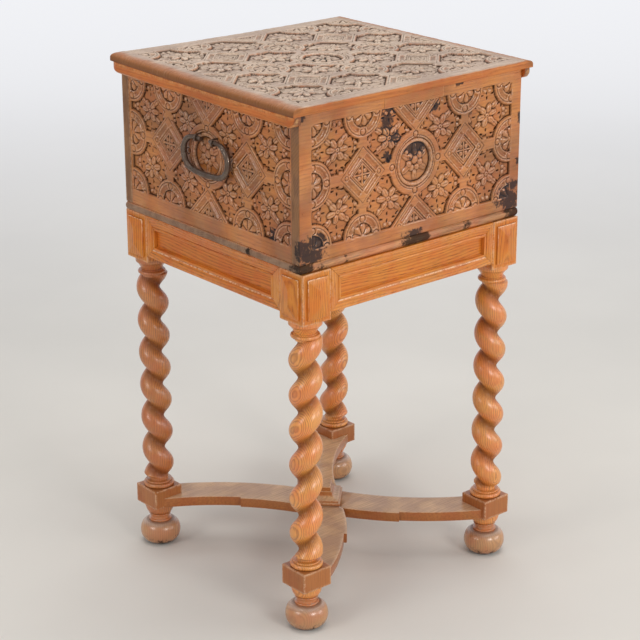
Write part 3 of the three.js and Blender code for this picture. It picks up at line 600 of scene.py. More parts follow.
def lozenge_motif(relief, du, dv):
    """A square on its corner about a quartered tile, with a channel along each side and a bead in
    its left and right corners. The distance is (|u| + |v|) / sqrt 2."""
    edge, channels, channel_ends, beads = 35.0, 25.2, (15.5, 19.0), 33.5
    tile_depth, tile_wall = 1.3, (18.2, 18.9)
    square = (np.abs(du) + np.abs(dv)) / math.sqrt(2)
    side = np.abs(np.abs(du) - np.abs(dv)) / math.sqrt(2)
    relief.stand(square - edge)
    relief.channel((1 - ease(side, *channel_ends)) * hollow_section(square - channels, 4.3))
    relief.cut(tile_depth * (1 - ease(square, *tile_wall)))
    for line, half, depth in ((18.2, 1.0, 3.2), (14.8, 0.9, 2.9), (32.3, 0.7, 1.0)):
        relief.cut(depth * scratch(square - line, half))
    relief.cut(quarters(du, dv, square))
    for at_u in (-beads, beads):
        relief.bead(np.hypot(du - at_u, dv), radius=3.4, top=1.9, sunk=1.5, dip=1.2,
                    rim=(3.6, 5.0))


def medallion_motif(relief, du, dv):
    """A ring with a rolled edge about a sunk cluster of fruit, with a bead on each side."""
    ring, roll, line, wall = 52.5, 36.3, 43.6, (39.8, 41.0)
    distance = np.hypot(du, dv)
    floor = relief.ground + 0.5
    relief.stand(distance - ring)
    relief.cut(floor * (1.0 - ease(distance, *wall)))
    relief.rise(dome(distance - roll, radius=3.3, rise=3.2) - 3.0)
    relief.rise(fruit_cluster(du, dv) - floor)
    relief.cut(1.4 * scratch(distance - line, half=0.8))
    for at_u, at_v in quarter_turns(50.0, 46.5):
        relief.bead(np.hypot(du - at_u, dv - at_v), radius=4.8, top=2.2, sunk=1.8, dip=1.5,
                    rim=(5.0, 6.8))


def joining_straps(relief, us, vs):
    """Short straps between the nodes of the lattice. Each has a step in it, a short wide bar, and
    those along u have it a little nearer to the middle of the face."""
    half, step, step_half, aside = 8.3, 3.4, 12.5, 6.0
    for near, far in zip(us[:-1], us[1:]):
        middle = (near + far) / 2
        middle -= np.sign(middle) * aside
        for across in vs[1:-1]:
            relief.stand(bar(relief.u, relief.v, near, far, across, half))
            relief.stand(bar(relief.u, relief.v, middle - step, middle + step, across, step_half))
    half, step, step_half = 7.4, 3.2, 12.2
    for near, far in zip(vs[:-1], vs[1:]):
        middle = (near + far) / 2
        for across in us[1:-1]:
            relief.stand(bar(relief.v, relief.u, near, far, across, half))
            relief.stand(bar(relief.v, relief.u, middle - step, middle + step, across, step_half))


def carved_field(u, v, us, vs, kinds, area, sizes):
    """Low relief over a plain face, as a height at every point (0 is the face).

    The ground inside the area lies at the carving's depth. A strap stands on it round every node
    of the lattice (us, vs), and short straps join the nodes. In each cell between four nodes a
    flower stands on the ground, with punched marks round it. The punched marks, the channels and
    the flowers are given back too.
    """
    relief = Relief(u, v, sizes.ground_depth / MM)
    inside = np.minimum(np.minimum(relief.u - area[0], area[1] - relief.u),
                        np.minimum(relief.v - area[2], area[3] - relief.v))
    motifs = {"round": round_motif, "lozenge": lozenge_motif, "medallion": medallion_motif}
    for row, middle_v in zip(kinds, vs):
        for kind, middle_u in zip(row, us):
            motifs[kind](relief, relief.u - middle_u, relief.v - middle_v)
    joining_straps(relief, us, vs)

    on_strap = relief.strap < -1.0
    border = ease(inside, 0.0, 1.1)
    flowers, marks = flower_cells(relief.u, relief.v, us, vs, sizes)
    outside = ease(relief.strap, 0.0, 2.6)
    height = -relief.ground * outside - relief.cuts * (1 - ease(relief.strap, -1.2, 0.4))
    height = np.where(on_strap, np.maximum(height, relief.rises), height)
    standing = (flowers > 0.02) & (outside > 0.5)
    height = np.where(standing, np.maximum(height, flowers - relief.ground), height)
    petals = np.where(standing | (on_strap & (relief.rises > -FAR / 2)), 1.0, 0.0)
    marks = marks * outside * border
    height = height * border - marks * sizes.punch_depth / MM
    return height, relief.u, relief.v, {
        "marks": marks, "flutes": relief.flutes, "petals": petals}


def bar(along, across, start, end, middle, half):
    """Distance to a rectangle, negative inside it."""
    return np.maximum(np.maximum(start - along, along - end), np.abs(across - middle) - half)


def scratch(offset, half):
    """1 in the middle of a cut line and 0 from one and a half times the given width on."""
    return 1.0 - ease(np.abs(offset), 0.0, half * 1.5)


def hollow_section(offset, half):
    """A gouge's round section: a half circle in units of its own radius."""
    return np.sqrt(np.clip(1.0 - (offset / half) ** 2, 0.0, 1.0))


def gouge(distance, angle, radius, half, spread):
    """Four channels bent round a node, on its diagonals, that run out at both ends."""
    off = np.abs(angle % (np.pi / 2) - np.pi / 4)
    window = 1.0 - ease(off, spread * 0.8, spread * 1.12)
    return window * hollow_section(distance - radius, half)


def dome(distance, radius, rise):
    """A bead: half of a flattened ball, and far below the face outside its radius."""
    share = np.clip(1.0 - (distance / radius) ** 2, 0.0, 1.0)
    return np.where(share > 0, rise * np.sqrt(share), -FAR)


def rosette(du, dv, radius, petals, twist):
    """Petals side by side round a boss: |cos| of half the petal count times the angle lifts each
    petal's middle, and the rim and the boss are domed."""
    distance = np.hypot(du, dv)
    angle = np.arctan2(dv, du) + twist
    lobe = np.abs(np.cos(angle * petals / 2))
    reach = radius * (0.72 + 0.28 * lobe)
    bowl = np.clip(distance / reach, 0, 1)
    height = 2.7 * lobe ** 0.7 * np.sin(np.pi * bowl) ** 0.5
    height = np.where(bowl < 1.0, height, -FAR)
    return np.maximum(height, dome(distance, radius * 0.24, 2.6))


def quarters(du, dv, square):
    """The tile of a lozenge: four hollowed fields between the arms of a raised cross, each with a
    leaf left standing in it."""
    arm = np.minimum(np.abs(du), np.abs(dv))
    field = ease(arm, 0.8, 1.7) * (1 - ease(square, 11.6, 12.8))
    leaf = dome(np.hypot(np.abs(du) - 5.8, np.abs(dv) - 5.8), 3.8, 1.0)
    return np.maximum(field * 2.8 - np.maximum(leaf, 0) * 2.0, 0.0)


def ray(distance, angle, towards, middle, long, wide):
    """A leaf or petal that points away from a flower's middle, at the given angle: the distance
    from its middle line, the place along it, and 1 - a^2 - b^2 over an ellipse of the given half
    length and half width."""
    along, across = distance * np.cos(angle - towards), distance * np.sin(angle - towards)
    share = np.clip(1 - ((along - middle) / long) ** 2 - (across / wide) ** 2, 0, 1)
    return np.abs(across), along, share


def fruit_cluster(du, dv):
    """A round boss of fruit with leaves: domes of several sizes on a hexagonal spread, and six
    leaves behind them that point outwards."""
    fruits = [(0, 4, 7.5, 4.0), (10, 10, 6.5, 3.6), (-10, 10, 6.5, 3.4), (0, 17, 6.0, 3.2),
              (-12, -2, 6.0, 3.3), (12, -2, 6.0, 3.4), (5, -9, 5.5, 3.2), (-6, -9, 5.5, 3.1),
              (0, -17, 4.6, 2.8), (16, 19, 4.0, 2.4), (-17, 18, 4.0, 2.4)]
    distance, angle = np.hypot(du, dv), np.arctan2(dv, du)
    height = np.zeros(du.shape)
    for at_u, at_v, radius, rise in fruits:
        height = np.maximum(height, dome(np.hypot(du - at_u, dv - at_v), radius, rise))
    for k in range(6):
        off, _, share = ray(distance, angle, (k + 0.5) * np.pi / 3, 20, 10.5, 5.2)
        vein = 0.7 * (1 - ease(off, 0.2, 1.2))
        height = np.maximum(height, np.where(share > 0, 2.1 * np.sqrt(share) - vein, 0.0))
    return height


def blossom(u, v, rise, luck):
    """A flower of six plump petals: each stands as (1 - a^2 - b^2) ^ 0.4 over an ellipse with a
    fold along its middle, round a pierced boss. A veined leaf lies behind it on each diagonal."""
    distance, angle = np.hypot(u / 1.1, v), np.arctan2(v, u / 1.1)
    turn_by = luck.uniform(-0.3, 0.3)
    best = np.zeros(u.shape)
    for k in range(4):
        towards = (k + 0.5) * np.pi / 2 + luck.uniform(-0.12, 0.12)
        off, _, share = ray(distance, angle, towards, 22.5, 7.0, 4.4)
        leaf = share ** 0.5 - 0.45 * (1 - ease(off, 0.2, 1.3)) * (share > 0)
        best = np.maximum(best, 0.6 * rise * leaf)
    for k in range(6):
        towards = turn_by + k * np.pi / 3 + luck.uniform(-0.06, 0.06)
        long, wide = luck.uniform(7.6, 8.6), luck.uniform(4.9, 5.4)
        off, along, share = ray(distance, angle, towards, 11.8, long, wide)
        fold = 0.22 * (1 - ease(off, 0.1, 1.4)) * ease(along, 6.0, 10.0) * (share > 0)
        best = np.maximum(best, rise * luck.uniform(0.88, 1.0) * (share ** 0.4 - fold))
    best = np.maximum(best, dome(distance, 4.2, rise * 0.9))
    return best - 2.2 * (1 - ease(distance, 0.5, 1.9))


# A cell's punched marks, as u, v and the way each lies, and its beads, as u, v and radius
MARKS = ((0, 28, 0), (0, -25, 0), (0, -35, 0), (-33, 11, 0), (-33, -7, 0), (33, 11, 0),
         (33, -9, 0), (-10, 34, 1), (11, 34, 1), (-28, 1.5, 1), (28, 0, 1), (-11, -31, 1),
         (12, -31, 1), (-19, 27, 2), (20, 27, 3), (-20, -26, 3), (20, -26, 2), (0, 38, 0),
         (-26, 18, 3), (27, 17, 2), (-27, -17, 2), (27, -17, 3))
BEADS = ((-38, 4, 3.7), (-38, -4, 3.5), (-43.5, 0, 3.4), (38, 4.5, 3.6), (38, -4, 3.7),
         (43.5, 0, 3.2), (-5, 40.5, 3.3), (5, 40.5, 3.3), (-5, -41, 3.3), (5, -41, 3.3))

# Each way's lean from upright, and half the length of its marks
WAYS = ((0.0, 3.3), (np.pi / 2, 3.6), (np.pi / 4, 4.0), (-np.pi / 4, 4.0))


def flower_cells(grid_u, grid_v, us, vs, sizes):
    """Flowers, beads and punched marks of the cells between four nodes. They are drawn for one size
    of cell and stretched to each one."""
    cell_u, cell_v, reach_u, reach_v = 103.0, 98.0, 56, 54
    bead_rise, mark_half = 2.0, 1.65
    flowers, marks = np.zeros(grid_u.shape), np.zeros(grid_u.shape)
    luck = np.random.default_rng(7)
    for low_v, high_v in zip(vs[:-1], vs[1:]):
        for low_u, high_u in zip(us[:-1], us[1:]):
            middle_u, middle_v = (low_u + high_u) / 2 + luck.uniform(-1, 1), (low_v + high_v) / 2
            scale_u, scale_v = (high_u - low_u) / cell_u, (high_v - low_v) / cell_v
            du, dv = (grid_u - middle_u) / scale_u, (grid_v - middle_v) / scale_v
            close = (np.abs(du) < reach_u) & (np.abs(dv) < reach_v)
            pu, pv = du[close], dv[close]
            best = blossom(pu, pv, sizes.flower_rise / MM, luck)
            for at_u, at_v, radius in BEADS:
                near = np.hypot(pu - at_u, pv - at_v)
                best = np.maximum(best, dome(near, radius, bead_rise))
            flowers[close] = np.maximum(flowers[close], best)
            dark = np.zeros(pu.shape)
            for at_u, at_v, way in MARKS:
                at_u, at_v = at_u + luck.uniform(-1.2, 1.2), at_v + luck.uniform(-1.2, 1.2)
                lean = WAYS[way][0] + luck.uniform(-0.15, 0.15)
                along = (pv - at_v) * math.cos(lean) + (pu - at_u) * math.sin(lean)
                across = (pu - at_u) * math.cos(lean) - (pv - at_v) * math.sin(lean)
                share = 1 - (along / WAYS[way][1]) ** 2 - (across / mark_half) ** 2
                dark = np.maximum(dark, np.sqrt(np.clip(share, 0, 1)))
            marks[close] = np.maximum(marks[close], dark)
    return flowers, marks


def share_of(value, full, start, most):
    """A value over the one that counts as full, less a start, and held between 0 and the most."""
    return np.clip(value / full - start, 0, most)


def dirt_shade_wear_and_highlight(height, marks, flutes, petals):
    """Three fields from a relief: dirt with painted shade, by how far a point lies under the mean of
    its close surroundings, with a share of the wider ones and the punched marks. Wear with painted
    highlights, by how far it stands above the close ones, most of all on flowers. Shine, on flowers
    and in the clean channels."""
    near = softened(softened(height, 1), 1)
    wide = softened(softened(height, 3), 2)
    # Painted shade: recesses and the feet of walls darkened as if in shadow, together with dirt
    dirt_and_shade_share = share_of(near - height, 0.6, 0.1, 0.85) + share_of(wide - height, 1.8, 0.12, 0.65)
    clean = 1 - 0.85 * ease(flutes, 0.2, 0.6)
    # Painted highlight: raised edges, and most of all petals, lightened as if catching the light,
    # together with wear
    edge, high = share_of(height - near, 0.5, 0.05, 1), share_of(height - wide, 2.2, 0.1, 0.5)
    return {"hollow": np.clip(dirt_and_shade_share * clean + marks, 0, 1),
            "worn": edge * (0.25 + 0.8 * petals) + high * petals,
            "shine": np.maximum(flutes, 0.7 * petals)}


def face_lines(low, high, step, extra=()):
    """Grid lines from low to high, one step apart, with three close lines at each end for the
    arris and extra lines at given places."""
    rim, close = 1.1, np.array([0.0, 0.2, 0.6])
    inner = np.linspace(low + rim, high - rim, int(round((high - low - 2 * rim) / step)) + 1)
    return np.unique(np.concatenate([low + close, inner, high - close, extra]))


def arris_drop(u, v, round_u, round_v=None):
    """How far the rounded edges of a face lie under it: quarter circles along its border."""
    drops = []
    for line, reach in ((u, round_u), (v, round_v or round_u)):
        near = np.clip(np.minimum(line - line[0], line[-1] - line) / reach, 0, 1)
        drops.append(reach * (1 - np.sqrt(np.clip(1 - (1 - near) ** 2, 0, 1))))
    return np.maximum(drops[0][None, :], drops[1][:, None])


def age(height, grid_u, grid_v, seed):
    """Unevenness of old wood on a relief: broad shallow waves, finer ones and the finest."""
    for number, (depth, size) in enumerate(((0.16, 46.0), (0.09, 9.0), (0.05, 3.1))):
        height = height + depth * mottle(grid_u, grid_v, size, seed + number)
    return height


def spots(grid_u, grid_v, places, seed):
    """Stains: 1 in the middle of each ellipse (u, v, half width, half height), ragged at its rim."""
    ragged = 0.34 * mottle(grid_u, grid_v, 9.0, seed) + 0.22 * mottle(grid_u, grid_v, 3.7, seed + 1)
    field = np.zeros(grid_u.shape)
    for at_u, at_v, half_u, half_v in places:
        far = np.hypot((grid_u - at_u) / half_u, (grid_v - at_v) / half_v)
        field = np.maximum(field, np.clip(1.35 - far + ragged, 0, 1))
    return field


# Motifs of the box's four sides and of the lid, from the lowest row up and from the left
BOX_KINDS = (
    ("round", "round", "lozenge", "round", "round"),
    ("round", "lozenge", "medallion", "lozenge", "round"),
    ("round", "round", "lozenge", "round", "round"),
)
LID_KINDS = (
    ("round", "round", "lozenge", "round", "round"),
    ("round", "lozenge", "round", "lozenge", "round"),
    ("lozenge", "round", "medallion", "round", "lozenge"),
    ("round", "lozenge", "round", "lozenge", "round"),
    ("round", "round", "lozenge", "round", "round"),
)

# Stains, as u, v, half width and half height
STAINS = {
    "front": ((-222, 664, 32, 24), (-205, 682, 22, 11), (-58, 852, 14, 20), (-45, 818, 18, 11),
              (47, 855, 9, 9), (218, 668, 28, 20), (228, 688, 16, 10), (-238, 881, 9, 10),
              (4, 790, 24, 14), (-56, 787, 7, 9), (239, 802, 7, 9), (236, 728, 6, 6),
              (95, 884, 10, 5), (0, 650, 22, 8)),
    "left": ((162, 683, 9, 11),),
    "right": ((-150, 700, 16, 10), (0, 772, 24, 24), (190, 655, 22, 9)),
    "lid": ((2, -3, 16, 14), (215, -210, 8, 6)),
    "bottom": ((-238, -232, 42, 24), (6, -234, 32, 14), (-150, -234, 5, 4), (232, -232, 30, 12),
               (120, -234, 9, 6), (-242, -103, 3, 6)),
}


def front_relief(sizes):
    """The front board: the carved field, a recess for the lock patch, and its stains."""
    low, high = extent("front_board")
    patch_low, patch_high = extent("lock_patch")
    gap, sliver, below, sunk = 0.25, 0.08, 0.4, 0.3
    left, right, under = patch_low[0] - gap, patch_high[0] + gap, patch_low[2] - gap
    u = face_lines(low[0], high[0], sizes.cell / MM, [left, left + sliver, right - sliver, right])
    v = face_lines(low[2], high[2], sizes.cell / MM, [under, under + sliver])
    us = np.array([-213.0, -110.0, 2.0, 111.0, 217.0]) + (low[0] + high[0]) / 2
    vs = np.array([low[2] + 21.5, low[2] + 122.4, high[2] - 18.6])
    area = (us[0] - 2, us[-1] + 2, vs[0], vs[-1])
    height, grid_u, grid_v, kept = carved_field(u, v, us, vs, BOX_KINDS, area, sizes)
    height = age(height, grid_u, grid_v, 11) - sunk
    fields = dirt_shade_wear_and_highlight(height, **kept)
    recess = (grid_u > left + sliver / 2) & (grid_u < right - sliver / 2)
    recess &= grid_v > under + sliver / 2
    depth = patch_high[1] - patch_low[1] + below
    height = np.where(recess, -depth, height) - np.where(recess, 0, arris_drop(u, v, 1.0))
    fields["worn"] = np.where(recess, 0, fields["worn"])
    fields["stain"] = spots(grid_u, grid_v, STAINS["front"], 31)

    def place(p):
        return np.column_stack([p[:, 0], low[1] - p[:, 2], p[:, 1]])

    return slab(u, v, height, fields, high[1] - low[1], place)


def end_relief(name, side, sizes):
    """An end board, seen from outside with u running to the right."""
    low, high = extent(f"{name}_end_board")
    u = face_lines(low[1], high[1], sizes.cell / MM)
    v = face_lines(low[2], high[2], sizes.cell / MM)
    us = np.array([-205.0, -103.0, 0.0, 103.0, 206.0])
    vs = np.array([low[2] + 25.4, low[2] + 126.4, high[2] - 20.6])
    margin, sunk = 3.0, 0.3
    area = (u[0] + margin, u[-1] - margin, vs[0], vs[-1])
    height, grid_u, grid_v, kept = carved_field(u, v, us, vs, BOX_KINDS, area, sizes)
    height = age(height, grid_u, grid_v, 51 if side < 0 else 61) - sunk
    fields = dirt_shade_wear_and_highlight(height, **kept)
    fields["stain"] = spots(grid_u, grid_v, STAINS[name], 41)
    face = low[0] if side < 0 else high[0]

    def place(p):
        return np.column_stack([face + side * p[:, 2], side * p[:, 0], p[:, 1]])

    return slab(u, v, height - arris_drop(u, v, 0.8), fields, high[0] - low[0], place)


def lid_lift(points, sizes):
    """The lid's slight twist: its back left corner lies higher, by the lift times u^3 v^2, with u
    from the right end to the left and v from the front to the back."""
    low, high = extent("lid_board")
    share_u = np.clip((high[0] - points[..., 0]) / (high[0] - low[0]), 0, 1)
    share_v = np.clip((points[..., 1] - low[1]) / (high[1] - low[1]), 0, 1)
    lifted = np.array(points)
    lifted[..., 2] += sizes.lid_lift / MM * share_u ** 3 * share_v ** 2
    return lifted


def lid_relief(sizes):
    """The lid: its carved top, ends rounded over a wide reach, and round front and back edges."""
    low, high = extent("lid_board")
    u, v = (face_lines(low[k], high[k], sizes.lid_cell / MM,
                       [low[k] + 1.6, low[k] + 3, high[k] - 3, high[k] - 1.6]) for k in (0, 1))
    us = np.array([-226.0, -118.0, 2.0, 120.0, 228.0])
    vs = np.array([-214.0, -107.0, -3.0, 102.0, 206.0])
    sunk, deep, reach = 0.6, 8.0, 17.0
    area = (us[0], us[-1], vs[0], vs[-1])
    height, grid_u, grid_v, kept = carved_field(u, v, us, vs, LID_KINDS, area, sizes)
    furrows = 0.3 * mottle(grid_u / 2.4, grid_v, 2.6, 77)
    height = age(height, grid_u, grid_v, 71) + furrows - sunk
    fields = dirt_shade_wear_and_highlight(height, **kept)
    del fields["shine"]
    edge = np.minimum(grid_u - u[0], u[-1] - grid_u)
    fields["stain"] = 0.7 * spots(grid_u, grid_v, STAINS["lid"], 43)
    fields["ends"] = 1 - ease(edge + 4 * mottle(grid_u, grid_v, 17.0, 5), 0.5, 25.0)
    near = 1 - np.clip(edge / reach, 0, 1)
    nosing = deep * (1 - np.sqrt(np.clip(1 - near ** 2.2, 0, 1)))
    height = height - np.maximum(arris_drop(u, v, 6.0, 4.5), nosing)

    def place(p):
        return lid_lift(np.column_stack([p[:, 0], p[:, 1], high[2] + p[:, 2]]), sizes)

    return slab(u, v, height, fields, high[2] - low[2], place)


def section_along(count, line):
    """A section whose points move along its path: two arrays of ring and place. Each coordinate is
    a number, or holds one for each ring."""
    return (np.stack([np.broadcast_to(value, count) for value in part], axis=1)
            for part in zip(*line))


def cleat_shell(name, side, sizes):
    """A cleat: its section is carried along Y, and its lower edge and outer face draw in towards
    both ends along quarters of an ellipse."""
    low, high = extent(f"{name}_lid_cleat")
    middle, half = (low[1] + high[1]) / 2, (high[1] - low[1]) / 2
    narrowing, rising, rounding, bevel = 6.0, 13.0, 13.0, 3.0
    plain = 26
    turned_by = np.radians(np.linspace(0, 90, 9))
    near = half - rounding + rounding * np.cos(turned_by)
    ends = 1 - np.sin(turned_by)
    straight = half - rounding - 3
    places = np.concatenate([-near, np.linspace(-straight, straight, plain), near[::-1]])
    share = np.concatenate([ends, np.zeros(plain), ends[::-1]])
    across = high[0] - low[0] - narrowing * share
    under = high[2] - low[2] - rising * share
    out, down = section_along(len(places), [
        (0, 0.6), (0.6, 0), (across - 0.8, 0), (across, 0.8), (across, 0.55 * (under - bevel)),
        (across, under - bevel), (across - 0.5 * bevel, under - 0.42 * bevel),
        (across - bevel, under), (0.7, under), (0, under - 0.7),
    ])
    inner = high[0] if side < 0 else low[0]
    rings = np.stack([
        inner + side * out, middle + places[:, None] + 0 * out, high[2] - down], axis=-1)
    worn = np.zeros(rings.shape[:2])
    worn[:, [3, 6, 7]] = 0.8
    return loft(lid_lift(rings, sizes) if side < 0 else rings, {"worn": worn})


def bottom_shell():
    """The bottom board: its half-round edge is carried round a rectangle with rounded corners, and
    knocked about by up to half a millimetre."""
    low, high = extent("bottom_board")
    middle, half = middle_and_half("bottom_board")
    face_edge, round_start, round_reach, corner_radius = 30.0, 7.0, 6.4, 8.0
    knock, most_outwards = 0.45, 0.3
    edge = profile(
        (face_edge, low[2]), arc((round_start, middle[2]), -round_reach, half[2], -84, 84, 12),
        (face_edge, high[2]))
    turning = np.radians(np.linspace(0, 90, 9))
    along = np.linspace(0, 1, 60)[1:-1, None]
    rings = []
    for inset, height in edge:
        corner = max(corner_radius - inset, 0.5)
        room = half[:2] - inset - corner
        arcs = []
        for k, ways in enumerate(((1, 1), (-1, 1), (-1, -1), (1, -1))):
            bend = turning + k * np.pi / 2
            arcs.append(ways * room + corner * np.column_stack([np.cos(bend), np.sin(bend)]))
        straights = [a[-1] * (1 - along) + b[0] * along for a, b in zip(arcs, arcs[1:] + arcs[:1])]
        ring = np.vstack([part for pair in zip(arcs, straights) for part in pair])
        rings.append(np.column_stack([ring + middle[:2], np.full(len(ring), height)]))
    rings = np.array(rings)
    x, y = rings[..., 0], rings[..., 1]
    outward = rings[..., :2] - rings[:1, :, :2]
    outward /= np.maximum(np.linalg.norm(outward, axis=-1, keepdims=True), 1.0)
    knocks = mottle(x + 900, y + 900 + 3 * rings[..., 2], 13.0, 91)
    rings[..., :2] += knock * outward * np.minimum(knocks, most_outwards)[..., None]
    stain = spots(x, y, STAINS["bottom"], 93)
    return loft(rings, {"stain": stain, "worn": np.clip(knocks, 0, 1)})


# Turnings

def strand_skin(phase, sizes):
    """Distance from the axis to the skin of the twist, by the angle from the strand's middle. It
    lies between that of a round section set off the axis, and that of a ball carried along the
    strand's winding line: the farthest of a * cos(p - k d) + sqrt(R^2 - d^2 - a^2 sin(p - k d)^2)
    over the heights d."""
    ball, offset = sizes.strand_radius / MM, sizes.strand_offset / MM
    climb = 2 * np.pi / (sizes.twist_pitch / MM)
    d = np.linspace(-ball, ball, 121)[:, None]
    gap = phase[None, :] - climb * d
    reach = ball ** 2 - d ** 2 - (offset * np.sin(gap)) ** 2
    swept = np.where(reach > 0, offset * np.cos(gap) + np.sqrt(np.maximum(reach, 0)), 0).max(axis=0)
    plain = offset * np.cos(phase) + np.sqrt(ball ** 2 - (offset * np.sin(phase)) ** 2)
    return plain * (1 - sizes.strand_fullness) + swept * sizes.strand_fullness


def twist(x, y, hand, start, low, high, neck, sizes):
    """A single strand wound up the leg, from its radius by angle and height. The radius is a mean
    over 70 degrees, 70 half degrees to each side, which fillets the valley. It runs out to the
    neck over a short height at both ends."""
    sides, run_out, crest, depth, fillet = 48, 6.0, 21.5, 9.0, 70
    height = np.linspace(low, high, 190)
    angle = np.linspace(0, 2 * np.pi, sides, endpoint=False)
    middle = math.radians(start) + hand * 2 * np.pi * (height - low) / (sizes.twist_pitch / MM)
    phase = (hand * (angle[None, :] - middle[:, None])) % (2 * np.pi)
    table = np.linspace(0, 2 * np.pi, 721)
    around = strand_skin(table, sizes)[:-1]
    around = np.mean([np.roll(around, shift) for shift in range(-fillet, fillet + 1, 5)], axis=0)
    radius = np.interp(phase, table, np.append(around, around[0]))
    share = ease(np.minimum(height - low, high - height), 0.0, run_out)[:, None]
    radius = neck + (radius - neck) * share
    # Painted shade: the valleys between the windings darkened as if in shadow
    valley_shade = np.clip((crest - radius) / depth, 0, 1) * share
    return loft(circles(x, y, radius, height, sides), {"hollow": 0.85 * valley_shade}, 1)


def leg_shells(name, sizes):
    """A leg: two square blocks, the turnings between them and the twist."""
    *_, hand, start = CORNERS[name]
    (x, y, _), (half, _, _) = middle_and_half(f"{name}_leg")
    low, high = extent(f"{name}_leg")
    foot_top, stand_top = low[2], high[2]
    block_low = foot_top + 19.0
    base = block_low + 35.0
    twist_low = base + 16.0
    head = twist_low + 387.0
    block_high = stand_top - 85.0
    neck, collar = half - 12.0, half - 2.5
    under = profile(
        (neck, foot_top), (neck + 0.4, foot_top + 0.8),
        arc((neck, block_low - 3.0), half - 3.4 - neck, -16.0, 88, 4, 9),
        (half - 3.0, block_low - 3.0), (half - 1.5, block_low - 2.4), (half - 1.5, block_low + 1))
    rings = profile(
        (collar - 2.0, base - 1), arc((collar - 3.2, base + 4.4), 4.2, 4.4, -90, 90, 8),
        (collar - 4.6, base + 8.7), arc((collar - 4.6, base + 10.3), 1.7, 1.7, -80, 80, 6),
        (neck + 1.2, base + 12.4), (neck + 0.2, base + 13.2), (neck, base + 15),
        (neck, twist_low + 2))
    crown = profile(
        (neck, head - 3.0), (neck + 1.4, head + 1.4),
        arc((neck + 3.6, head + 5.2), 3.6, 3.5, -75, 75, 8), (neck + 3.2, head + 8.9),
        (neck + 3.2, head + 10.0), (neck + 1.6, head + 10.6), (neck + 1.8, head + 11.8),
        (neck + 2.6, head + 13.6), (neck + 3.8, head + 16.0), (neck + 5.4, head + 18.6),
        (neck + 7.3, head + 21.2), (neck + 9.2, head + 23.2), (collar + 0.7, head + 23.9),
        (collar + 1.0, head + 24.8), (collar + 1.0, head + 32.5))
    return [
        turned(under, x, y, finish=1),
        board([x - half, y - half, block_low], [x + half, y + half, base], 1.0, finish=2),
        turned(rings, x, y, finish=1),
        twist(x, y, hand, start, twist_low, head + 7.0, neck, sizes),
        turned(crown, x, y, finish=1),
        board([x - half, y - half, block_high], [x + half, y + half, stand_top], 1.2),
    ]


def foot_shell(name):
    """A bun foot: the quarters of two ellipses below and above its belly, a ring and a neck."""
    (x, y, _), (radius, _, _) = middle_and_half(f"{name}_foot")
    belly, top = 23.0, 43.0
    line = profile(
        (8.0, 0.0), (15.0, 0.0), arc((16, belly), radius - 16, belly, -86, 0, 14),
        arc((22, belly), radius - 22, top - belly, 6, 84, 12), (20.6, 43.4), (20.9, 43.9),
        arc((18.7, 45.4), 1.8, 1.7, -60, 80, 6), (17.2, 47.6), (17.0, 49.0), (17.0, 53.5),
        (17.6, 54.4), arc((18.2, 55.6), 1.4, 1.2, -70, 70, 5), (17.2, 57.3), (16.4, 57.7))
    made = turned(line, x, y, 64)
    height = made["points"][:, 2]
    # Darker towards the bottom, and painted shade in the crease under the ring
    hollow = 0.5 * (1 - ease(height, 0, 9)) + 0.5 * (1 - ease(np.abs(height - 43.3), 0.2, 1.4))
    made["fields"] = {"hollow": hollow, "stain": 0.32 * (1 - ease(height, 4, 26)),
                      # The neck above the ring takes the finish's orange colour for this field
                      "worn": 1.6 * ease(height, 42.5, 45)}
    return made


# Stand

# Whether a side's pieces run along X, and the way it looks along its own axis
FACING = {"front": (True, -1), "right": (False, 1), "back": (True, 1), "left": (False, -1)}


def mitred_frame(side):
    """A planted frame of four mitred lengths: a section carried along each side, with its ends cut
    on the diagonals. The two upright lengths take the finish with an upright grain, and the lower
    one has a painted highlight on its inner edge."""
    along_x, _ = FACING[side]
    model = "front_rail_frame" if along_x else "right_rail_frame"
    low, high = extent(model)
    (_, _, centre), (wide_x, wide_y, tall) = middle_and_half(model)
    wide, face = (wide_x, low[1]) if along_x else (wide_y, -high[0])
    back, gap = face + 6.0, 0.3
    section = profile(
        (0.0, back), (0.0, face + 0.5), (0.5, face), (14.0, face), (14.6, face + 0.3),
        (15.0, face + 1.3), arc((19.0, face + 1.5), 3.4, 1.5, 180, 300, 7),
        (21.4, face + 3.0), (21.6, face + 4.4), (22.0, face + 4.5), (22.0, back))
    worn = np.zeros(len(section))
    worn[[2, 4, 8, 9]] = 0.4
    worn[6:13] = 0.15
    # Painted highlight: the lower length's inner edge lightened as if catching the light from above
    painted_highlight = worn.copy()
    painted_highlight[4:9] = 2.4
    inset, depth = section[:, 0], section[:, 1]
    shells = []
    for sx, sz in ((0, -1), (0, 1), (-1, 0), (1, 0)):
        ends = []
        for end in (-1, 1):
            x = end * (wide - inset - gap) if sz else sx * (wide - inset)
            z = centre + (sz * (tall - inset) if sz else end * (tall - inset - gap))
            ends.append(np.column_stack([x, depth, z]))
        rings = np.stack([ends[0] * (1 - t) + ends[1] * t for t in (0, 0.02, 0.5, 0.98, 1)])
        line = painted_highlight if sz < 0 else worn
        shells.append(loft(turn(rings, side), {"worn": np.tile(line, (5, 1))}, 0 if sz else 1))
    return shells


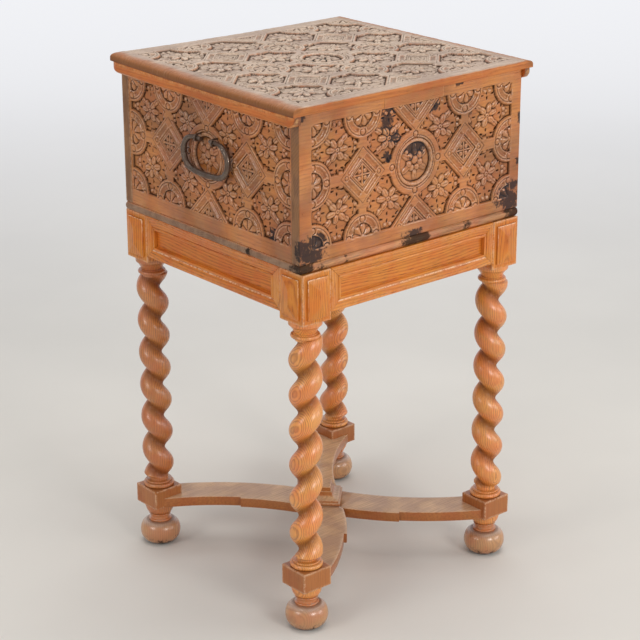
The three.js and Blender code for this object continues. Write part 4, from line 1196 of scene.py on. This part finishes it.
def jewel_shell(side, number):
    """A raised panel: a rectangle, its upper edge, and a hipped top that ends in a ridge. Each
    ring has eight points, and the ridge's lie in pairs a hair apart."""
    name = f"{side}_jewel_{number}"
    low, high = extent(name)
    middles, halves = middle_and_half(name)
    along_x, way = FACING[side]
    along, across = (0, 1) if along_x else (1, 0)
    middle = (-way if along_x else way) * middles[along]
    half, tall, centre = halves[along], halves[2], middles[2]
    face = 7.0 + (low[across] if way < 0 else -high[across])
    ridge = tall - half
    rings = []
    for inset, out in ((0, 0), (0, 2.5), (0.5, 3.0), (1.4, 3.25), (half * 0.5, 5.0),
                       (half - 1.2, 6.7), (half - 0.25, 6.95)):
        w, h = half - inset, max(tall - inset, ridge + 0.2)
        corners = [(-w, -h), (0, -h), (w, -h), (w, 0), (w, h), (0, h), (-w, h), (-w, 0)]
        rings.append([(middle + a, face - out, centre + b) for a, b in corners])
    rings = np.array(rings)
    worn = np.zeros(rings.shape[:2])
    worn[1:3] = 0.3
    # Painted highlight: the upper edge lightened as if catching the light from above, on top of wear
    worn[1:3, 4:7] = 2.4
    return loft(turn(rings, side), {"worn": worn})


def arm_shell(name):
    """A stretcher arm: a board's section carried along an arc from the centre to its leg, with a
    wider outer edge on its inner part. On the back left arm it is the inner edge."""
    sx, sy, *_ = CORNERS[name]
    low, high = extent(f"{name}_stretcher_arm")
    leg = middle_and_half("front_right_leg")[0][:2]
    start = np.array([20.0, -24.0])
    bow, wide, step, shoulder, before_start = 19.0, 62.0, 5.0, 114.0, 31.0
    chord = leg - start
    outward = np.array([chord[1], -chord[0]]) / np.linalg.norm(chord)
    radius = chord @ chord / (8 * bow) + bow / 2
    centre = (start + leg) / 2 + outward * (bow - radius)
    first, last = (math.atan2(*(p - centre)[::-1]) for p in (start, leg))
    last += 2 * np.pi * round((first - last) / (2 * np.pi))
    way = math.copysign(1.0, last - first)
    shoulder_end = first + way * shoulder / radius
    near = np.linspace(first - way * before_start / radius, shoulder_end, 30)
    far = np.linspace(shoulder_end, last, 30)
    along = np.concatenate([near, [shoulder_end, shoulder_end], far[1:]])
    wider = np.where(np.arange(len(along)) <= len(near), step, 0.0)
    inward = name == "back_left"
    inner = radius - wide / 2 - wider * inward
    outer = radius + wide / 2 + wider * (not inward)
    thick, arris, flat = high[2] - low[2], 0.9, 4.5
    corner = ((arris, 0), (0.3 * arris, 0.3 * arris), (0, arris))
    reach, height = section_along(len(along), [
        *[(inner + a, b) for a, b in corner],
        *[(inner + a, thick - b) for a, b in corner[::-1]],
        (inner + flat, thick), (outer - flat, thick),
        *[(outer - a, thick - b) for a, b in corner],
        *[(outer - a, b) for a, b in corner[::-1]],
    ])
    rings = np.stack([
        sx * (centre[0] + reach * np.cos(along)[:, None]),
        -sy * (centre[1] + reach * np.sin(along)[:, None]), height + low[2]], axis=-1)
    worn = np.zeros(reach.shape)
    worn[:, [1, 4, 9, 12]] = 0.9
    worn[:, [5, 8]] = 0.5
    return loft(rings, {"worn": worn})


def mitre_cut(made, sx, sy):
    """Cuts an arm off at the two planes where it meets its neighbours, and closes the cuts."""
    gap = 0.15 * MM
    form = bmesh.new()
    form.from_mesh(made.data)
    for normal in ((-sx, 0, 0), (0, -sy, 0)):
        everything = form.verts[:] + form.edges[:] + form.faces[:]
        cut = bmesh.ops.bisect_plane(form, geom=everything, dist=1e-7, plane_no=normal,
                                     plane_co=(sx * gap, sy * gap, 0), clear_outer=True)
        rim = [item for item in cut["geom_cut"] if isinstance(item, bmesh.types.BMEdge)]
        bmesh.ops.contextual_create(form, geom=rim)
    form.to_mesh(made.data)
    form.free()
    made.data.update()


def hub_shell():
    """The centre block: a moulded line of (half width, height) carried round a square with slightly
    rounded corners, which point to the four sides of the stand."""
    low, high = extent("stretcher_centre_block")
    base, top = low[2] + 13.0, high[2]
    line = profile(
        (36.0, base), (36.0, base + 3.2), (35.4, base + 4.0), (33.6, base + 4.4),
        (33.2, base + 5.0), (33.2, base + 7.4), (32.6, base + 8.2), (30.6, base + 8.8),
        arc((30.4, base + 17.5), 9.8, 8.2, 268, 184, 7), (20.0, top - 8.6), (18.2, top - 8.2),
        (18.0, top - 7.6), (18.0, top - 1.6), (17.4, top - 0.6), (16.4, top))
    rounding = 0.03
    bend = np.pi / 4 + np.pi / 2 * np.linspace(-0.5, 0.5, 5)
    corner = 1.0 + rounding * (np.column_stack([np.cos(bend), np.sin(bend)]) - 1.0)
    square = np.vstack([corner * ways for ways in ((1, 1), (-1, 1), (-1, -1), (1, -1))])
    square = square[np.argsort(np.arctan2(square[:, 1], square[:, 0]))]
    flat = line[:, :1, None] * square
    c = math.sqrt(0.5)
    rings = np.stack([
        c * (flat[..., 0] - flat[..., 1]), c * (flat[..., 0] + flat[..., 1]),
        line[:, 1:] + 0 * flat[..., 0]], axis=-1)
    worn = np.zeros(rings.shape[:2])
    worn[[1, 5, -2]] = 0.9
    return loft(rings, {"worn": worn})


# Iron

def winding(points, steps):
    """A smooth line through points: on each stretch, Catmull and Rom's cubic of its four nearest
    points."""
    points = np.array(points, float)
    padded = np.vstack([2 * points[0] - points[1], points, 2 * points[-1] - points[-2]])
    t = np.linspace(0, 1, steps, endpoint=False)[None, :, None]
    a, b, c, d = (padded[k:len(padded) - 3 + k, None, :] for k in range(4))
    stretch = 0.5 * (2 * b + (c - a) * t + (2 * a - 5 * b + 4 * c - d) * t ** 2
                     + (3 * b - a - 3 * c + d) * t ** 3)
    return np.vstack([stretch.reshape(-1, points.shape[1]), points[-1:]])


def rod_shell(line, radius, normal, sides, tip=0.5):
    """A rod along a line in a plane with the given normal: circles across the line, whose size may
    change along it, with a smaller one past each end for a rounded tip."""
    line, normal = np.array(line, float), np.array(normal, float)
    radius = np.broadcast_to(radius, len(line)).astype(float)
    ahead = np.gradient(line, axis=0)
    ahead /= np.linalg.norm(ahead, axis=1, keepdims=True)
    line = np.vstack([line[0] - ahead[0] * tip, line, line[-1] + ahead[-1] * tip])
    ahead = np.vstack([ahead[:1], ahead, ahead[-1:]])
    radius = np.concatenate([[radius[0] * 0.8], radius, [radius[-1] * 0.8]])[:, None, None]
    across = np.cross(ahead, normal)[:, None, :]
    angle = np.linspace(0, 2 * np.pi, sides, endpoint=False)[None, :, None]
    return loft(line[:, None, :] + radius * (np.cos(angle) * across + np.sin(angle) * normal))


def bail_shell(name):
    """The bail: a rod that is thin in the staples, swells towards the grip and is a little uneven
    from the hammer."""
    (x, middle, _), _ = middle_and_half(f"{name}_handle_bail")
    pivot, wide, drop = 803.6, 58.0, 58.0
    thin, swell = 3.2, 1.7
    right = [(13, 0), (22, 0), (31, 0), (wide * 0.78, drop * 0.08), (wide * 0.95, drop * 0.27),
             (wide, drop * 0.52), (wide * 0.9, drop * 0.78), (wide * 0.62, drop * 0.95)]
    pairs = right + [(0, drop)] + [(-a, b) for a, b in reversed(right)]
    line = winding([(x, middle + a, pivot - b) for a, b in pairs], 10)
    far = np.concatenate([[0], np.cumsum(np.linalg.norm(np.diff(line, axis=0), axis=1))])
    radius = thin + swell * ease(np.minimum(far, far[-1] - far), 16, 40)
    radius = radius * (1 + 0.035 * np.sin(far * 0.37) + 0.025 * np.sin(far * 0.83 + 1))
    return rod_shell(line, radius, (1, 0, 0), 22, tip=1.4)


def staple_shell(name, side, place):
    """A staple: a rod bent round the bail's end, with both legs in the board."""
    node = f"{name}_handle_{place}_staple"
    low, high = extent(node)
    (_, y, middle), (_, _, tall) = middle_and_half(node)
    radius = 1.7
    half = tall - radius
    outer, inner = (low[0], high[0]) if side < 0 else (high[0], low[0])
    centre = outer - side * (half + radius)
    angle = np.radians(np.linspace(-90, 90, 19))
    leg = np.linspace(inner + side * 0.3, centre, 6)[:-1]
    out = np.concatenate([leg, centre + side * half * np.cos(angle), leg[::-1]])
    up = half * np.concatenate([0 * leg - 1, np.sin(angle), 0 * leg + 1])
    line = np.column_stack([out, 0 * out + y, middle + up])
    return rod_shell(line, radius, (0, 1, 0), 14)


def nail_heads(places):
    """Rose-headed nails in a face that looks back: a low dome of six facets at each place, with a
    disc under it."""
    radius, rise = 3.2, 1.1
    angle = np.linspace(0, 2 * np.pi, 12, endpoint=False)
    facets = radius * (1 + 0.06 * np.cos(6 * angle))
    shells = []
    for x, y, z in places:
        shells.append(loft(np.array([
            np.column_stack([x + share * facets * np.cos(angle), y + rise * height + 0 * angle,
                             z - share * facets * np.sin(angle)])
            for share, height in ((0.9, -0.6), (1.0, 0.0), (1.0, 0.25), (0.62, 0.8), (0.2, 1.0))
        ])))
    return shells


# Settings

def length(name, description, default, **more):
    """A size in metres that the sidebar shows as a length."""
    return bpy.props.FloatProperty(name=name, description=description, default=default,
                                   min=0.0, unit="LENGTH", subtype="DISTANCE", precision=5, **more)


def tint(name, description, default):
    """A colour as seen on a screen, from 0 to 1 in each channel."""
    return bpy.props.FloatVectorProperty(name=name, description=description, size=3,
                                         default=[v / 255.0 for v in default], min=0.0, max=1.0,
                                         subtype="COLOR_GAMMA")


class OakBoxCarving(bpy.types.PropertyGroup):
    """Sizes of the carving on the boards."""

    cell: length("Cell", "Spacing of the carved faces' grid", 0.00116)
    lid_cell: length("Lid cell", "Spacing of the lid's grid", 0.00169)
    ground_depth: length("Ground depth", "How far the ground lies under the straps", 0.0036)
    flower_rise: length("Flower rise", "How far the petals stand above the ground", 0.0038)
    punch_depth: length("Punch depth", "Depth of the punched marks in the ground", 0.0021)
    lid_lift: length("Lid lift", "How far the lid's back left corner has warped up", 0.006)


class OakBoxTurning(bpy.types.PropertyGroup):
    """Sizes of the twist."""

    twist_pitch: length("Pitch", "Height of one turn of the strand", 0.061)
    strand_radius: length("Strand radius", "Radius of the strand's round section", 0.0193)
    strand_offset: length("Strand offset", "Middle of the strand, off the leg's axis", 0.0086)
    strand_fullness: bpy.props.FloatProperty(
        name="Fullness", description="0 for a plain shifted circle, 1 for a swept ball",
        default=1.0, min=0.0, max=1.0, subtype="FACTOR")


class OakBoxColours(bpy.types.PropertyGroup):
    """Colours of the finishes."""

    body_light: tint("Body oak", "Light colour of the carved boards", (206, 132, 62))
    body_dark: tint("Body oak, dark", "Dark colour of the carved boards", (138, 78, 34))
    lid_light: tint("Lid oak", "Light colour of the lid", (200, 181, 162))
    lid_dark: tint("Lid oak, dark", "Dark colour of the lid", (130, 108, 90))
    stand_light: tint("Stand oak", "Light colour of the stand", (224, 142, 52))
    stand_dark: tint("Stand oak, dark", "Dark colour of the stand", (162, 84, 22))
    turned_light: tint("Turned oak", "Light colour of the turned legs", (246, 166, 76))
    turned_dark: tint("Turned oak, dark", "Dark colour of the turned legs", (146, 78, 26))
    lower_light: tint("Lower oak", "Light colour of the lower blocks and arms", (182, 114, 60))
    lower_dark: tint("Lower oak, dark", "Dark colour of the lower blocks and arms", (136, 78, 38))
    cleat_light: tint("Cleat oak", "Light colour of the lid's cleats", (214, 124, 50))
    cleat_dark: tint("Cleat oak, dark", "Dark colour of the lid's cleats", (166, 86, 30))
    floor: tint("Floor", "Colour of the floor", (220, 217, 211))
    backdrop: tint("Backdrop", "Colour of the backdrop far behind the box", (243, 244, 248))


class OakBoxSettings(bpy.types.PropertyGroup):
    """All settings of the oak box."""

    carving: bpy.props.PointerProperty(type=OakBoxCarving, name="Carving",
                                       description="Sizes of the carving")
    turning: bpy.props.PointerProperty(type=OakBoxTurning, name="Turning",
                                       description="Sizes of the twist")
    colours: bpy.props.PointerProperty(type=OakBoxColours, name="Colours",
                                       description="Colours of the finishes")


def screen(colour):
    """A colour from the settings as numbers from 0 to 255."""
    return tuple(255.0 * value for value in colour)


def oaks(colours):
    """What each oak finish wants, by its name. Each starts from one of a few woods."""
    c = {key: screen(getattr(colours, key)) for key in colours.__annotations__}
    # The carved boards' colour for recesses is painted shade as well as dirt, and their pale colour
    # for edges a painted highlight as well as wear
    body = {"light": c["body_light"], "dark": c["body_dark"], "ring": 4.4,
            "figure": 0.16, "streak": 0.35, "pores": 0.45, "gloss": 0.32, "coat": 0.4,
            "patina": 0.6, "worn": (236, 198, 166), "wear_and_highlight_share": 0.28, "hollow": (34, 13, 5),
            "dirt_and_shade_share": 0.95, "bump": 0.6, "end": (142, 98, 56), "end_share": 0.9, "red": 0.2,
            "specular": 0.38, "stain": (46, 45, 49)}
    # The stand's nearly white colour for edges is a painted highlight as well as wear
    stand = {"light": c["stand_light"], "dark": c["stand_dark"], "ring": 4.2, "sway": 0.007,
             "figure": 0.42, "streak": 0.22, "pores": 0.8, "gloss": 0.3, "patina": 0.15,
             "coat": 0.25, "specular": 0.3, "wear_and_highlight_share": 0.35, "worn": (250, 220, 186), "bump": 0.7,
             "end_share": 0.35, "end": (128, 78, 40)}
    upright = {**stand, "along": "Z", "heart": (0.21, -0.235)}
    # The turned legs' colour for recesses is painted shade in the twist's valleys
    turned_wood = {**upright, "light": c["turned_light"], "dark": c["turned_dark"], "coat": 0.5,
                   "coat_gloss": 0.26, "specular": 0.85, "gloss": 0.38, "figure": 0.5,
                   "ring": 2.9, "streak": 0.2, "pores": 0.4, "hollow": (96, 46, 18)}
    lower = {**upright, "light": c["lower_light"], "dark": c["lower_dark"], "figure": 0.15,
             "streak": 0.25, "pores": 0.25}
    return {
        "carved_oak_x": {**body, "along": "X", "heart": (-0.36, 0.70)},
        "carved_oak_y": {**body, "along": "Y", "heart": (-0.36, 0.80)},
        # The lid's colour for recesses is painted shade as well as dirt, its pale colour for edges a
        # painted highlight as well as wear, and the grey of its top weathering with a painted sheen
        "weathered_oak": {
            "light": (202, 122, 54), "dark": (150, 82, 32), "along": "X", "heart": (0.05, 1.06),
            "ring": 4.4, "figure": 0.25, "streak": 0.45, "gloss": 0.46, "hollow": (50, 34, 24),
            "worn": (222, 200, 178), "wear_and_highlight_share": 0.45, "dirt_and_shade_share": 0.95, "end": (104, 68, 42),
            "grey_and_sheen": (c["lid_light"], c["lid_dark"]), "specular": 0.4, "bump": 0.8},
        "cleat_oak": {
            "light": c["cleat_light"], "dark": c["cleat_dark"], "along": "Y",
            "heart": (-0.2, 0.83), "ring": 3.2, "figure": 0.25, "streak": 0.35, "pores": 0.45,
            "gloss": 0.36, "coat": 0.2, "worn": (240, 182, 116), "wear_and_highlight_share": 0.6, "specular": 0.4},
        "stained_oak": {
            "light": (224, 160, 104), "dark": (150, 100, 64), "along": "X", "heart": (0.0, 0.58),
            "ring": 3.4, "gloss": 0.5, "figure": 0.4, "streak": 0.7, "worn": (170, 138, 112),
            "wear_and_highlight_share": 0.5, "patina": 0.5, "end": (146, 116, 92), "end_share": 0.9},
        "patch_oak": {
            "light": (196, 124, 62), "dark": (144, 84, 38), "along": "X", "heart": (-0.2, 0.83),
            "ring": 2.0, "gloss": 0.4, "figure": 0.2, "streak": 0.3, "pores": 0.3},
        "stand_oak_x": {**stand, "along": "X", "heart": (-0.20, 0.52)},
        "stand_oak_y": {**stand, "along": "Y", "heart": (-0.20, 0.52), "light": (220, 130, 42),
                        "dark": (150, 74, 18)},
        "stand_oak_z": upright,
        "turned_oak": turned_wood,
        "turned_brown_oak": {**turned_wood, "light": (206, 130, 60), "dark": (132, 72, 30)},
        "block_oak": lower,
        # The foot's grey upper half is a painted sheen, as if it reflected the light from above
        "foot_oak": {
            **upright, "light": (204, 148, 94), "dark": (128, 82, 46), "figure": 0.3,
            "streak": 0.1, "pores": 0.1, "ring": 3.4, "coat": 0.6, "specular": 0.9,
            "gloss": 0.34, "worn": (200, 118, 60), "wear_and_highlight_share": 0.9,
            "grey_and_sheen": ((204, 176, 156), (156, 128, 110)), "grey_and_sheen_share": 0.7},
        # The arms' grey tops are dust with a painted sheen
        "arm_oak": {
            **lower, "along": "X", "heart": (0.02, 0.05), "streak": 0.45,
            "grey_and_sheen": ((226, 192, 152), (156, 120, 84)), "grey_and_sheen_share": 0.75},
    }


def finish(name):
    """One of the object's finishes by name, made when it is first asked for."""
    surface = f"{name}_surface"
    if surface in bpy.data.materials:
        return bpy.data.materials[surface]
    if name == "iron":
        return forged_iron(surface)
    return oak(surface, **oaks(bpy.context.scene.oak_box.colours)[name])


def refinish(node, name):
    """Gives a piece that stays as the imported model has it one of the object's finishes."""
    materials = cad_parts[node].data.materials
    materials.clear()
    materials.append(finish(name))


# Pieces

class OAKBOX_OT_front(bpy.types.Operator):
    """Carve the front board and fit the patch where the lock was"""

    bl_idname = "oakbox.front"
    bl_label = "Front board"

    def execute(self, context):
        carving = context.scene.oak_box.carving
        piece("front_board", "carved", [front_relief(carving)], ["carved_oak_x"],
              crease=0)
        piece("lock_patch", "planed", [board(*extent("lock_patch"), 0.35, 1.5)], ["patch_oak"])
        return {"FINISHED"}


class OAKBOX_OT_ends(bpy.types.Operator):
    """Carve the two end boards"""

    bl_idname = "oakbox.ends"
    bl_label = "End boards"

    def execute(self, context):
        carving = context.scene.oak_box.carving
        for name, side in HANDS:
            piece(f"{name}_end_board", "carved", [end_relief(name, side, carving)],
                  ["carved_oak_y"], crease=0)
        return {"FINISHED"}


class OAKBOX_OT_plain_boards(bpy.types.Operator):
    """Plane the back board, round the bottom board's edges and finish the corner pegs"""

    bl_idname = "oakbox.plain_boards"
    bl_label = "Back, bottom and pegs"

    def execute(self, context):
        piece("back_board", "planed", [board(*extent("back_board"), 1.0)], ["carved_oak_x"])
        piece("bottom_board", "rounded", [bottom_shell()], ["stained_oak"],
              crease=0)
        for corner in CORNERS:
            for place in ("lower", "upper"):
                refinish(f"{corner}_{place}_peg", "carved_oak_x")
        return {"FINISHED"}


class OAKBOX_OT_lid(bpy.types.Operator):
    """Carve the lid and shape its two cleats"""

    bl_idname = "oakbox.lid"
    bl_label = "Lid and cleats"

    def execute(self, context):
        carving = context.scene.oak_box.carving
        piece("lid_board", "carved", [lid_relief(carving)], ["weathered_oak"],
              body="lid", crease=0)
        for name, side in HANDS:
            piece(f"{name}_lid_cleat", "shaped", [cleat_shell(name, side, carving)],
                  ["cleat_oak"], body="lid")
        return {"FINISHED"}


class OAKBOX_OT_iron(bpy.types.Operator):
    """Forge the bail handles and their staples, and nail on the hinges"""

    bl_idname = "oakbox.iron"
    bl_label = "Handles and hinges"

    def execute(self, context):
        for name, side in HANDS:
            piece(f"{name}_handle_bail", "forged", [bail_shell(name)], ["iron"],
                  body=f"{name}_handle")
            for place in ("front", "back"):
                piece(f"{name}_handle_{place}_staple", "forged",
                      [staple_shell(name, side, place)], ["iron"])
            for part in ("lid_leaf", "back_leaf", "pin"):
                refinish(f"{name}_hinge_{part}", "iron")
            low, high = extent(f"{name}_hinge_back_leaf")
            x, face = (low[0] + high[0]) / 2, low[1] + 2.0
            nails = [(x + a, face, low[2] + b) for a, b in ((-8, 8), (8, 8), (0, 22))]
            piece(f"{name}_hinge_back", "nails", nail_heads(nails), ["iron"],
                  replacing=False)
        return {"FINISHED"}


class OAKBOX_OT_legs(bpy.types.Operator):
    """Turn the four twisted legs and their bun feet"""

    bl_idname = "oakbox.legs"
    bl_label = "Legs and feet"

    def execute(self, context):
        turning = context.scene.oak_box.turning
        for corner in CORNERS:
            wood = "turned_brown_oak" if corner == "back_left" else "turned_oak"
            piece(f"{corner}_leg", "turned", leg_shells(corner, turning),
                  ["stand_oak_z", wood, "block_oak"])
            piece(f"{corner}_foot", "turned", [foot_shell(corner)], ["foot_oak"])
        return {"FINISHED"}


class OAKBOX_OT_rails(bpy.types.Operator):
    """Plane the rails, mitre their frames and shape the raised panels"""

    bl_idname = "oakbox.rails"
    bl_label = "Rails, frames and panels"

    def execute(self, context):
        for side in SIDES:
            wood = "stand_oak_x" if FACING[side][0] else "stand_oak_y"
            rail = board(*extent(f"{side}_rail"), 0.4)
            piece(f"{side}_rail", "planed", [rail], [wood])
            piece(f"{side}_rail_frame", "mitred", mitred_frame(side), [wood, "stand_oak_z"],
                  crease=30)
            for number in (1, 2):
                piece(f"{side}_jewel_{number}", "raised", [jewel_shell(side, number)],
                      ["stand_oak_z"], crease=12)
        return {"FINISHED"}


class OAKBOX_OT_stretcher(bpy.types.Operator):
    """Saw the four curved stretcher arms and mould the centre block"""

    bl_idname = "oakbox.stretcher"
    bl_label = "Stretcher"

    def execute(self, context):
        for corner, (sx, sy, *_) in CORNERS.items():
            made = piece(f"{corner}_stretcher_arm", "sawn", [arm_shell(corner)], ["arm_oak"])
            mitre_cut(made, sx, sy)
        piece("stretcher_centre_block", "moulded", [hub_shell()], ["arm_oak"],
              crease=25)
        return {"FINISHED"}


# Stage

# The camera, fitted to the object's straight edges: where it stands, its angles in radians, and
# its focal length in pixels of a picture of the given width
CAMERA_PLACE = (-2.0414196, -2.3917811, 1.6094750)
CAMERA_YAW, CAMERA_PITCH, CAMERA_ROLL = 0.7060547898, -0.3574723406, -0.0021566417
FOCAL_PIXELS, PICTURE_PIXELS, SENSOR_WIDTH = 1927.6317, 640.0, 36.0
AHEAD = (math.sin(CAMERA_YAW), math.cos(CAMERA_YAW))

# Each lamp's name, place, aim, size, power and colour
LAMPS = (
    ("top_lamp", (0.3, 0.2, 3.3), (0, 0, 0.5), (3.0, 3.0), 52.0, (1.0, 0.99, 0.97)),
    ("front_lamp", (-0.2, -3.9, 2.1), (0, 0, 0.6), (1.3, 1.0), 52.0, (1.0, 0.98, 0.95)),
    ("left_lamp", (-3.6, 0.1, 2.0), (0, 0, 0.6), (1.2, 0.9), 28.0, (1.0, 0.96, 0.91)),
    ("right_lamp", (2.5, -3.0, 1.3), (0, 0, 0.5), (1.8, 1.4), 28.0, (1.0, 0.99, 0.97)),
)


def lamp(name, place, aim, size, power, colour):
    """A rectangular lamp at a place, turned to its aim."""
    light = bpy.data.lights.new(name, "AREA")
    light.shape = "RECTANGLE"
    light.size, light.size_y = size
    light.energy = power
    light.color = colour
    holder = bpy.data.objects.new(name, light)
    holder.location = place
    holder.rotation_euler = (Vector(aim) - Vector(place)).to_track_quat("-Z", "Y").to_euler()
    bpy.context.scene.collection.objects.link(holder)


def backdrop_finish(colours):
    """Painted floor with faint clouds. Away from the box, the camera and glossy surfaces see it
    turn to the colour of the backdrop, by the distance along the middle of the sweep."""
    r = Recipe("studio_floor")
    space = r.node("ShaderNodeTexCoord", output=3)
    cloud = r.noise(space, scale=1.6, detail=4.0)
    base = paint(*screen(colours.floor))
    tone = r.blend(r.between(cloud, 0.3, 0.7), darkened(base, 0.97),
                   tuple(min(1.0, v * 1.03) for v in base))
    r.settle(tone, 0.6, r.raised(cloud, 0.0002, 0.2), Specular_IOR_Level=0.25)
    away = r.node("ShaderNodeVectorMath", {0: space, 1: (*AHEAD, 0.25)}, 1, operation="DOT_PRODUCT")
    rays = r.node("ShaderNodeLightPath").node
    seen = r.larger(rays.outputs["Is Camera Ray"], r.larger(
        rays.outputs["Is Glossy Ray"], rays.outputs["Is Transmission Ray"]))
    share = r.times(seen, r.between(away, 0.2, 4.6))
    glow = r.node("ShaderNodeEmission", {"Color": paint(*screen(colours.backdrop))})
    mixed = r.node("ShaderNodeMixShader", {0: share, 1: r.shader.outputs[0], 2: glow})
    end = next(n for n in r.tree.nodes if n.type == "OUTPUT_MATERIAL")
    r.feed(end.inputs["Surface"], mixed)
    return r.material


def sweep():
    """Floor and backdrop in one sheet: flat, then a quarter circle up, then a wall."""
    near, far, radius, top, half = -6.0, 3.2, 1.8, 7.0, 9.0
    bend = np.radians(np.linspace(0, 90, 25))
    out = np.concatenate([[near, 0.0, far], far + radius * np.sin(bend[1:]), [far + radius]])
    up = np.concatenate([[0.0, 0.0, 0.0], radius * (1 - np.cos(bend[1:])), [top]])
    across = np.array([-half, 0.0, half])
    points = (across[None, :, None] * np.array([AHEAD[1], -AHEAD[0], 0.0])
              + out[:, None, None] * np.array([*AHEAD, 0.0])
              + up[:, None, None] * np.array([0.0, 0.0, 1.0]))
    quads = grid_faces(np.arange(len(out) * len(across)).reshape(len(out), len(across)))
    mesh = bpy.data.meshes.new("studio_sweep")
    mesh.from_pydata(points.reshape(-1, 3).tolist(), [], quads.tolist())
    mesh.shade_smooth()
    made = bpy.data.objects.new("studio_sweep", mesh)
    bpy.context.scene.collection.objects.link(made)
    return made


def air():
    """The faint light from all round."""
    world = bpy.data.worlds.new("studio_air")
    world.use_nodes = True
    back = world.node_tree.nodes["Background"]
    back.inputs["Color"].default_value = (0.96, 0.97, 1.0, 1.0)
    back.inputs["Strength"].default_value = 0.43
    bpy.context.scene.world = world


def aim_camera():
    """The camera, turned by its yaw and pitch, and rolled about the line it looks along."""
    camera = bpy.data.cameras.new("camera")
    camera.sensor_width = SENSOR_WIDTH
    camera.lens = FOCAL_PIXELS / PICTURE_PIXELS * SENSOR_WIDTH
    camera.clip_end = 60.0
    holder = bpy.data.objects.new("camera", camera)
    flat = math.cos(CAMERA_PITCH)
    ahead = Vector((AHEAD[0] * flat, AHEAD[1] * flat, math.sin(CAMERA_PITCH)))
    right = Vector((AHEAD[1], -AHEAD[0], 0.0))
    right = right * math.cos(CAMERA_ROLL) + right.cross(ahead) * math.sin(CAMERA_ROLL)
    holder.matrix_world = Matrix((right, right.cross(ahead), -ahead)).transposed().to_4x4()
    holder.location = CAMERA_PLACE
    bpy.context.scene.collection.objects.link(holder)
    bpy.context.scene.camera = holder


class OAKBOX_OT_stage(bpy.types.Operator):
    """Set the pale floor, the studio light and the camera"""

    bl_idname = "oakbox.stage"
    bl_label = "Stage"

    def execute(self, context):
        context.scene.view_settings.view_transform = "Standard"
        floor = sweep()
        floor.data.materials.append(backdrop_finish(context.scene.oak_box.colours))
        for settings in LAMPS:
            lamp(*settings)
        air()
        aim_camera()
        return {"FINISHED"}


class OAKBOX_PT_panel(bpy.types.Panel):
    """The pieces of the oak box, and their sizes and colours."""

    bl_idname = "OAKBOX_PT_panel"
    bl_label = "Oak Box"
    bl_space_type = "VIEW_3D"
    bl_region_type = "UI"
    bl_category = "Oak Box"

    def draw(self, context):
        layout = self.layout
        for operator in OPERATORS:
            layout.operator(operator.bl_idname)
        for group in (context.scene.oak_box.carving, context.scene.oak_box.turning,
                      context.scene.oak_box.colours):
            box = layout.box()
            for key in group.__annotations__:
                box.prop(group, key)


OPERATORS = (OAKBOX_OT_stage, OAKBOX_OT_front, OAKBOX_OT_ends, OAKBOX_OT_plain_boards,
             OAKBOX_OT_lid, OAKBOX_OT_iron, OAKBOX_OT_legs, OAKBOX_OT_rails, OAKBOX_OT_stretcher)
CLASSES = (OakBoxCarving, OakBoxTurning, OakBoxColours, OakBoxSettings, *OPERATORS, OAKBOX_PT_panel)


def register():
    """Makes the classes and the scene's settings known to Blender."""
    for item in CLASSES:
        bpy.utils.register_class(item)
    bpy.types.Scene.oak_box = bpy.props.PointerProperty(
        type=OakBoxSettings, name="Oak box", description="Sizes and colours of the oak box")


def unregister():
    """Takes the settings and the classes away again."""
    del bpy.types.Scene.oak_box
    for item in reversed(CLASSES):
        bpy.utils.unregister_class(item)


def main():
    """Builds the whole object."""
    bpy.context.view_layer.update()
    register()
    for operator in OPERATORS:
        group, name = operator.bl_idname.split(".")
        getattr(getattr(bpy.ops, group), name)()


if __name__ == "__main__":
    main()
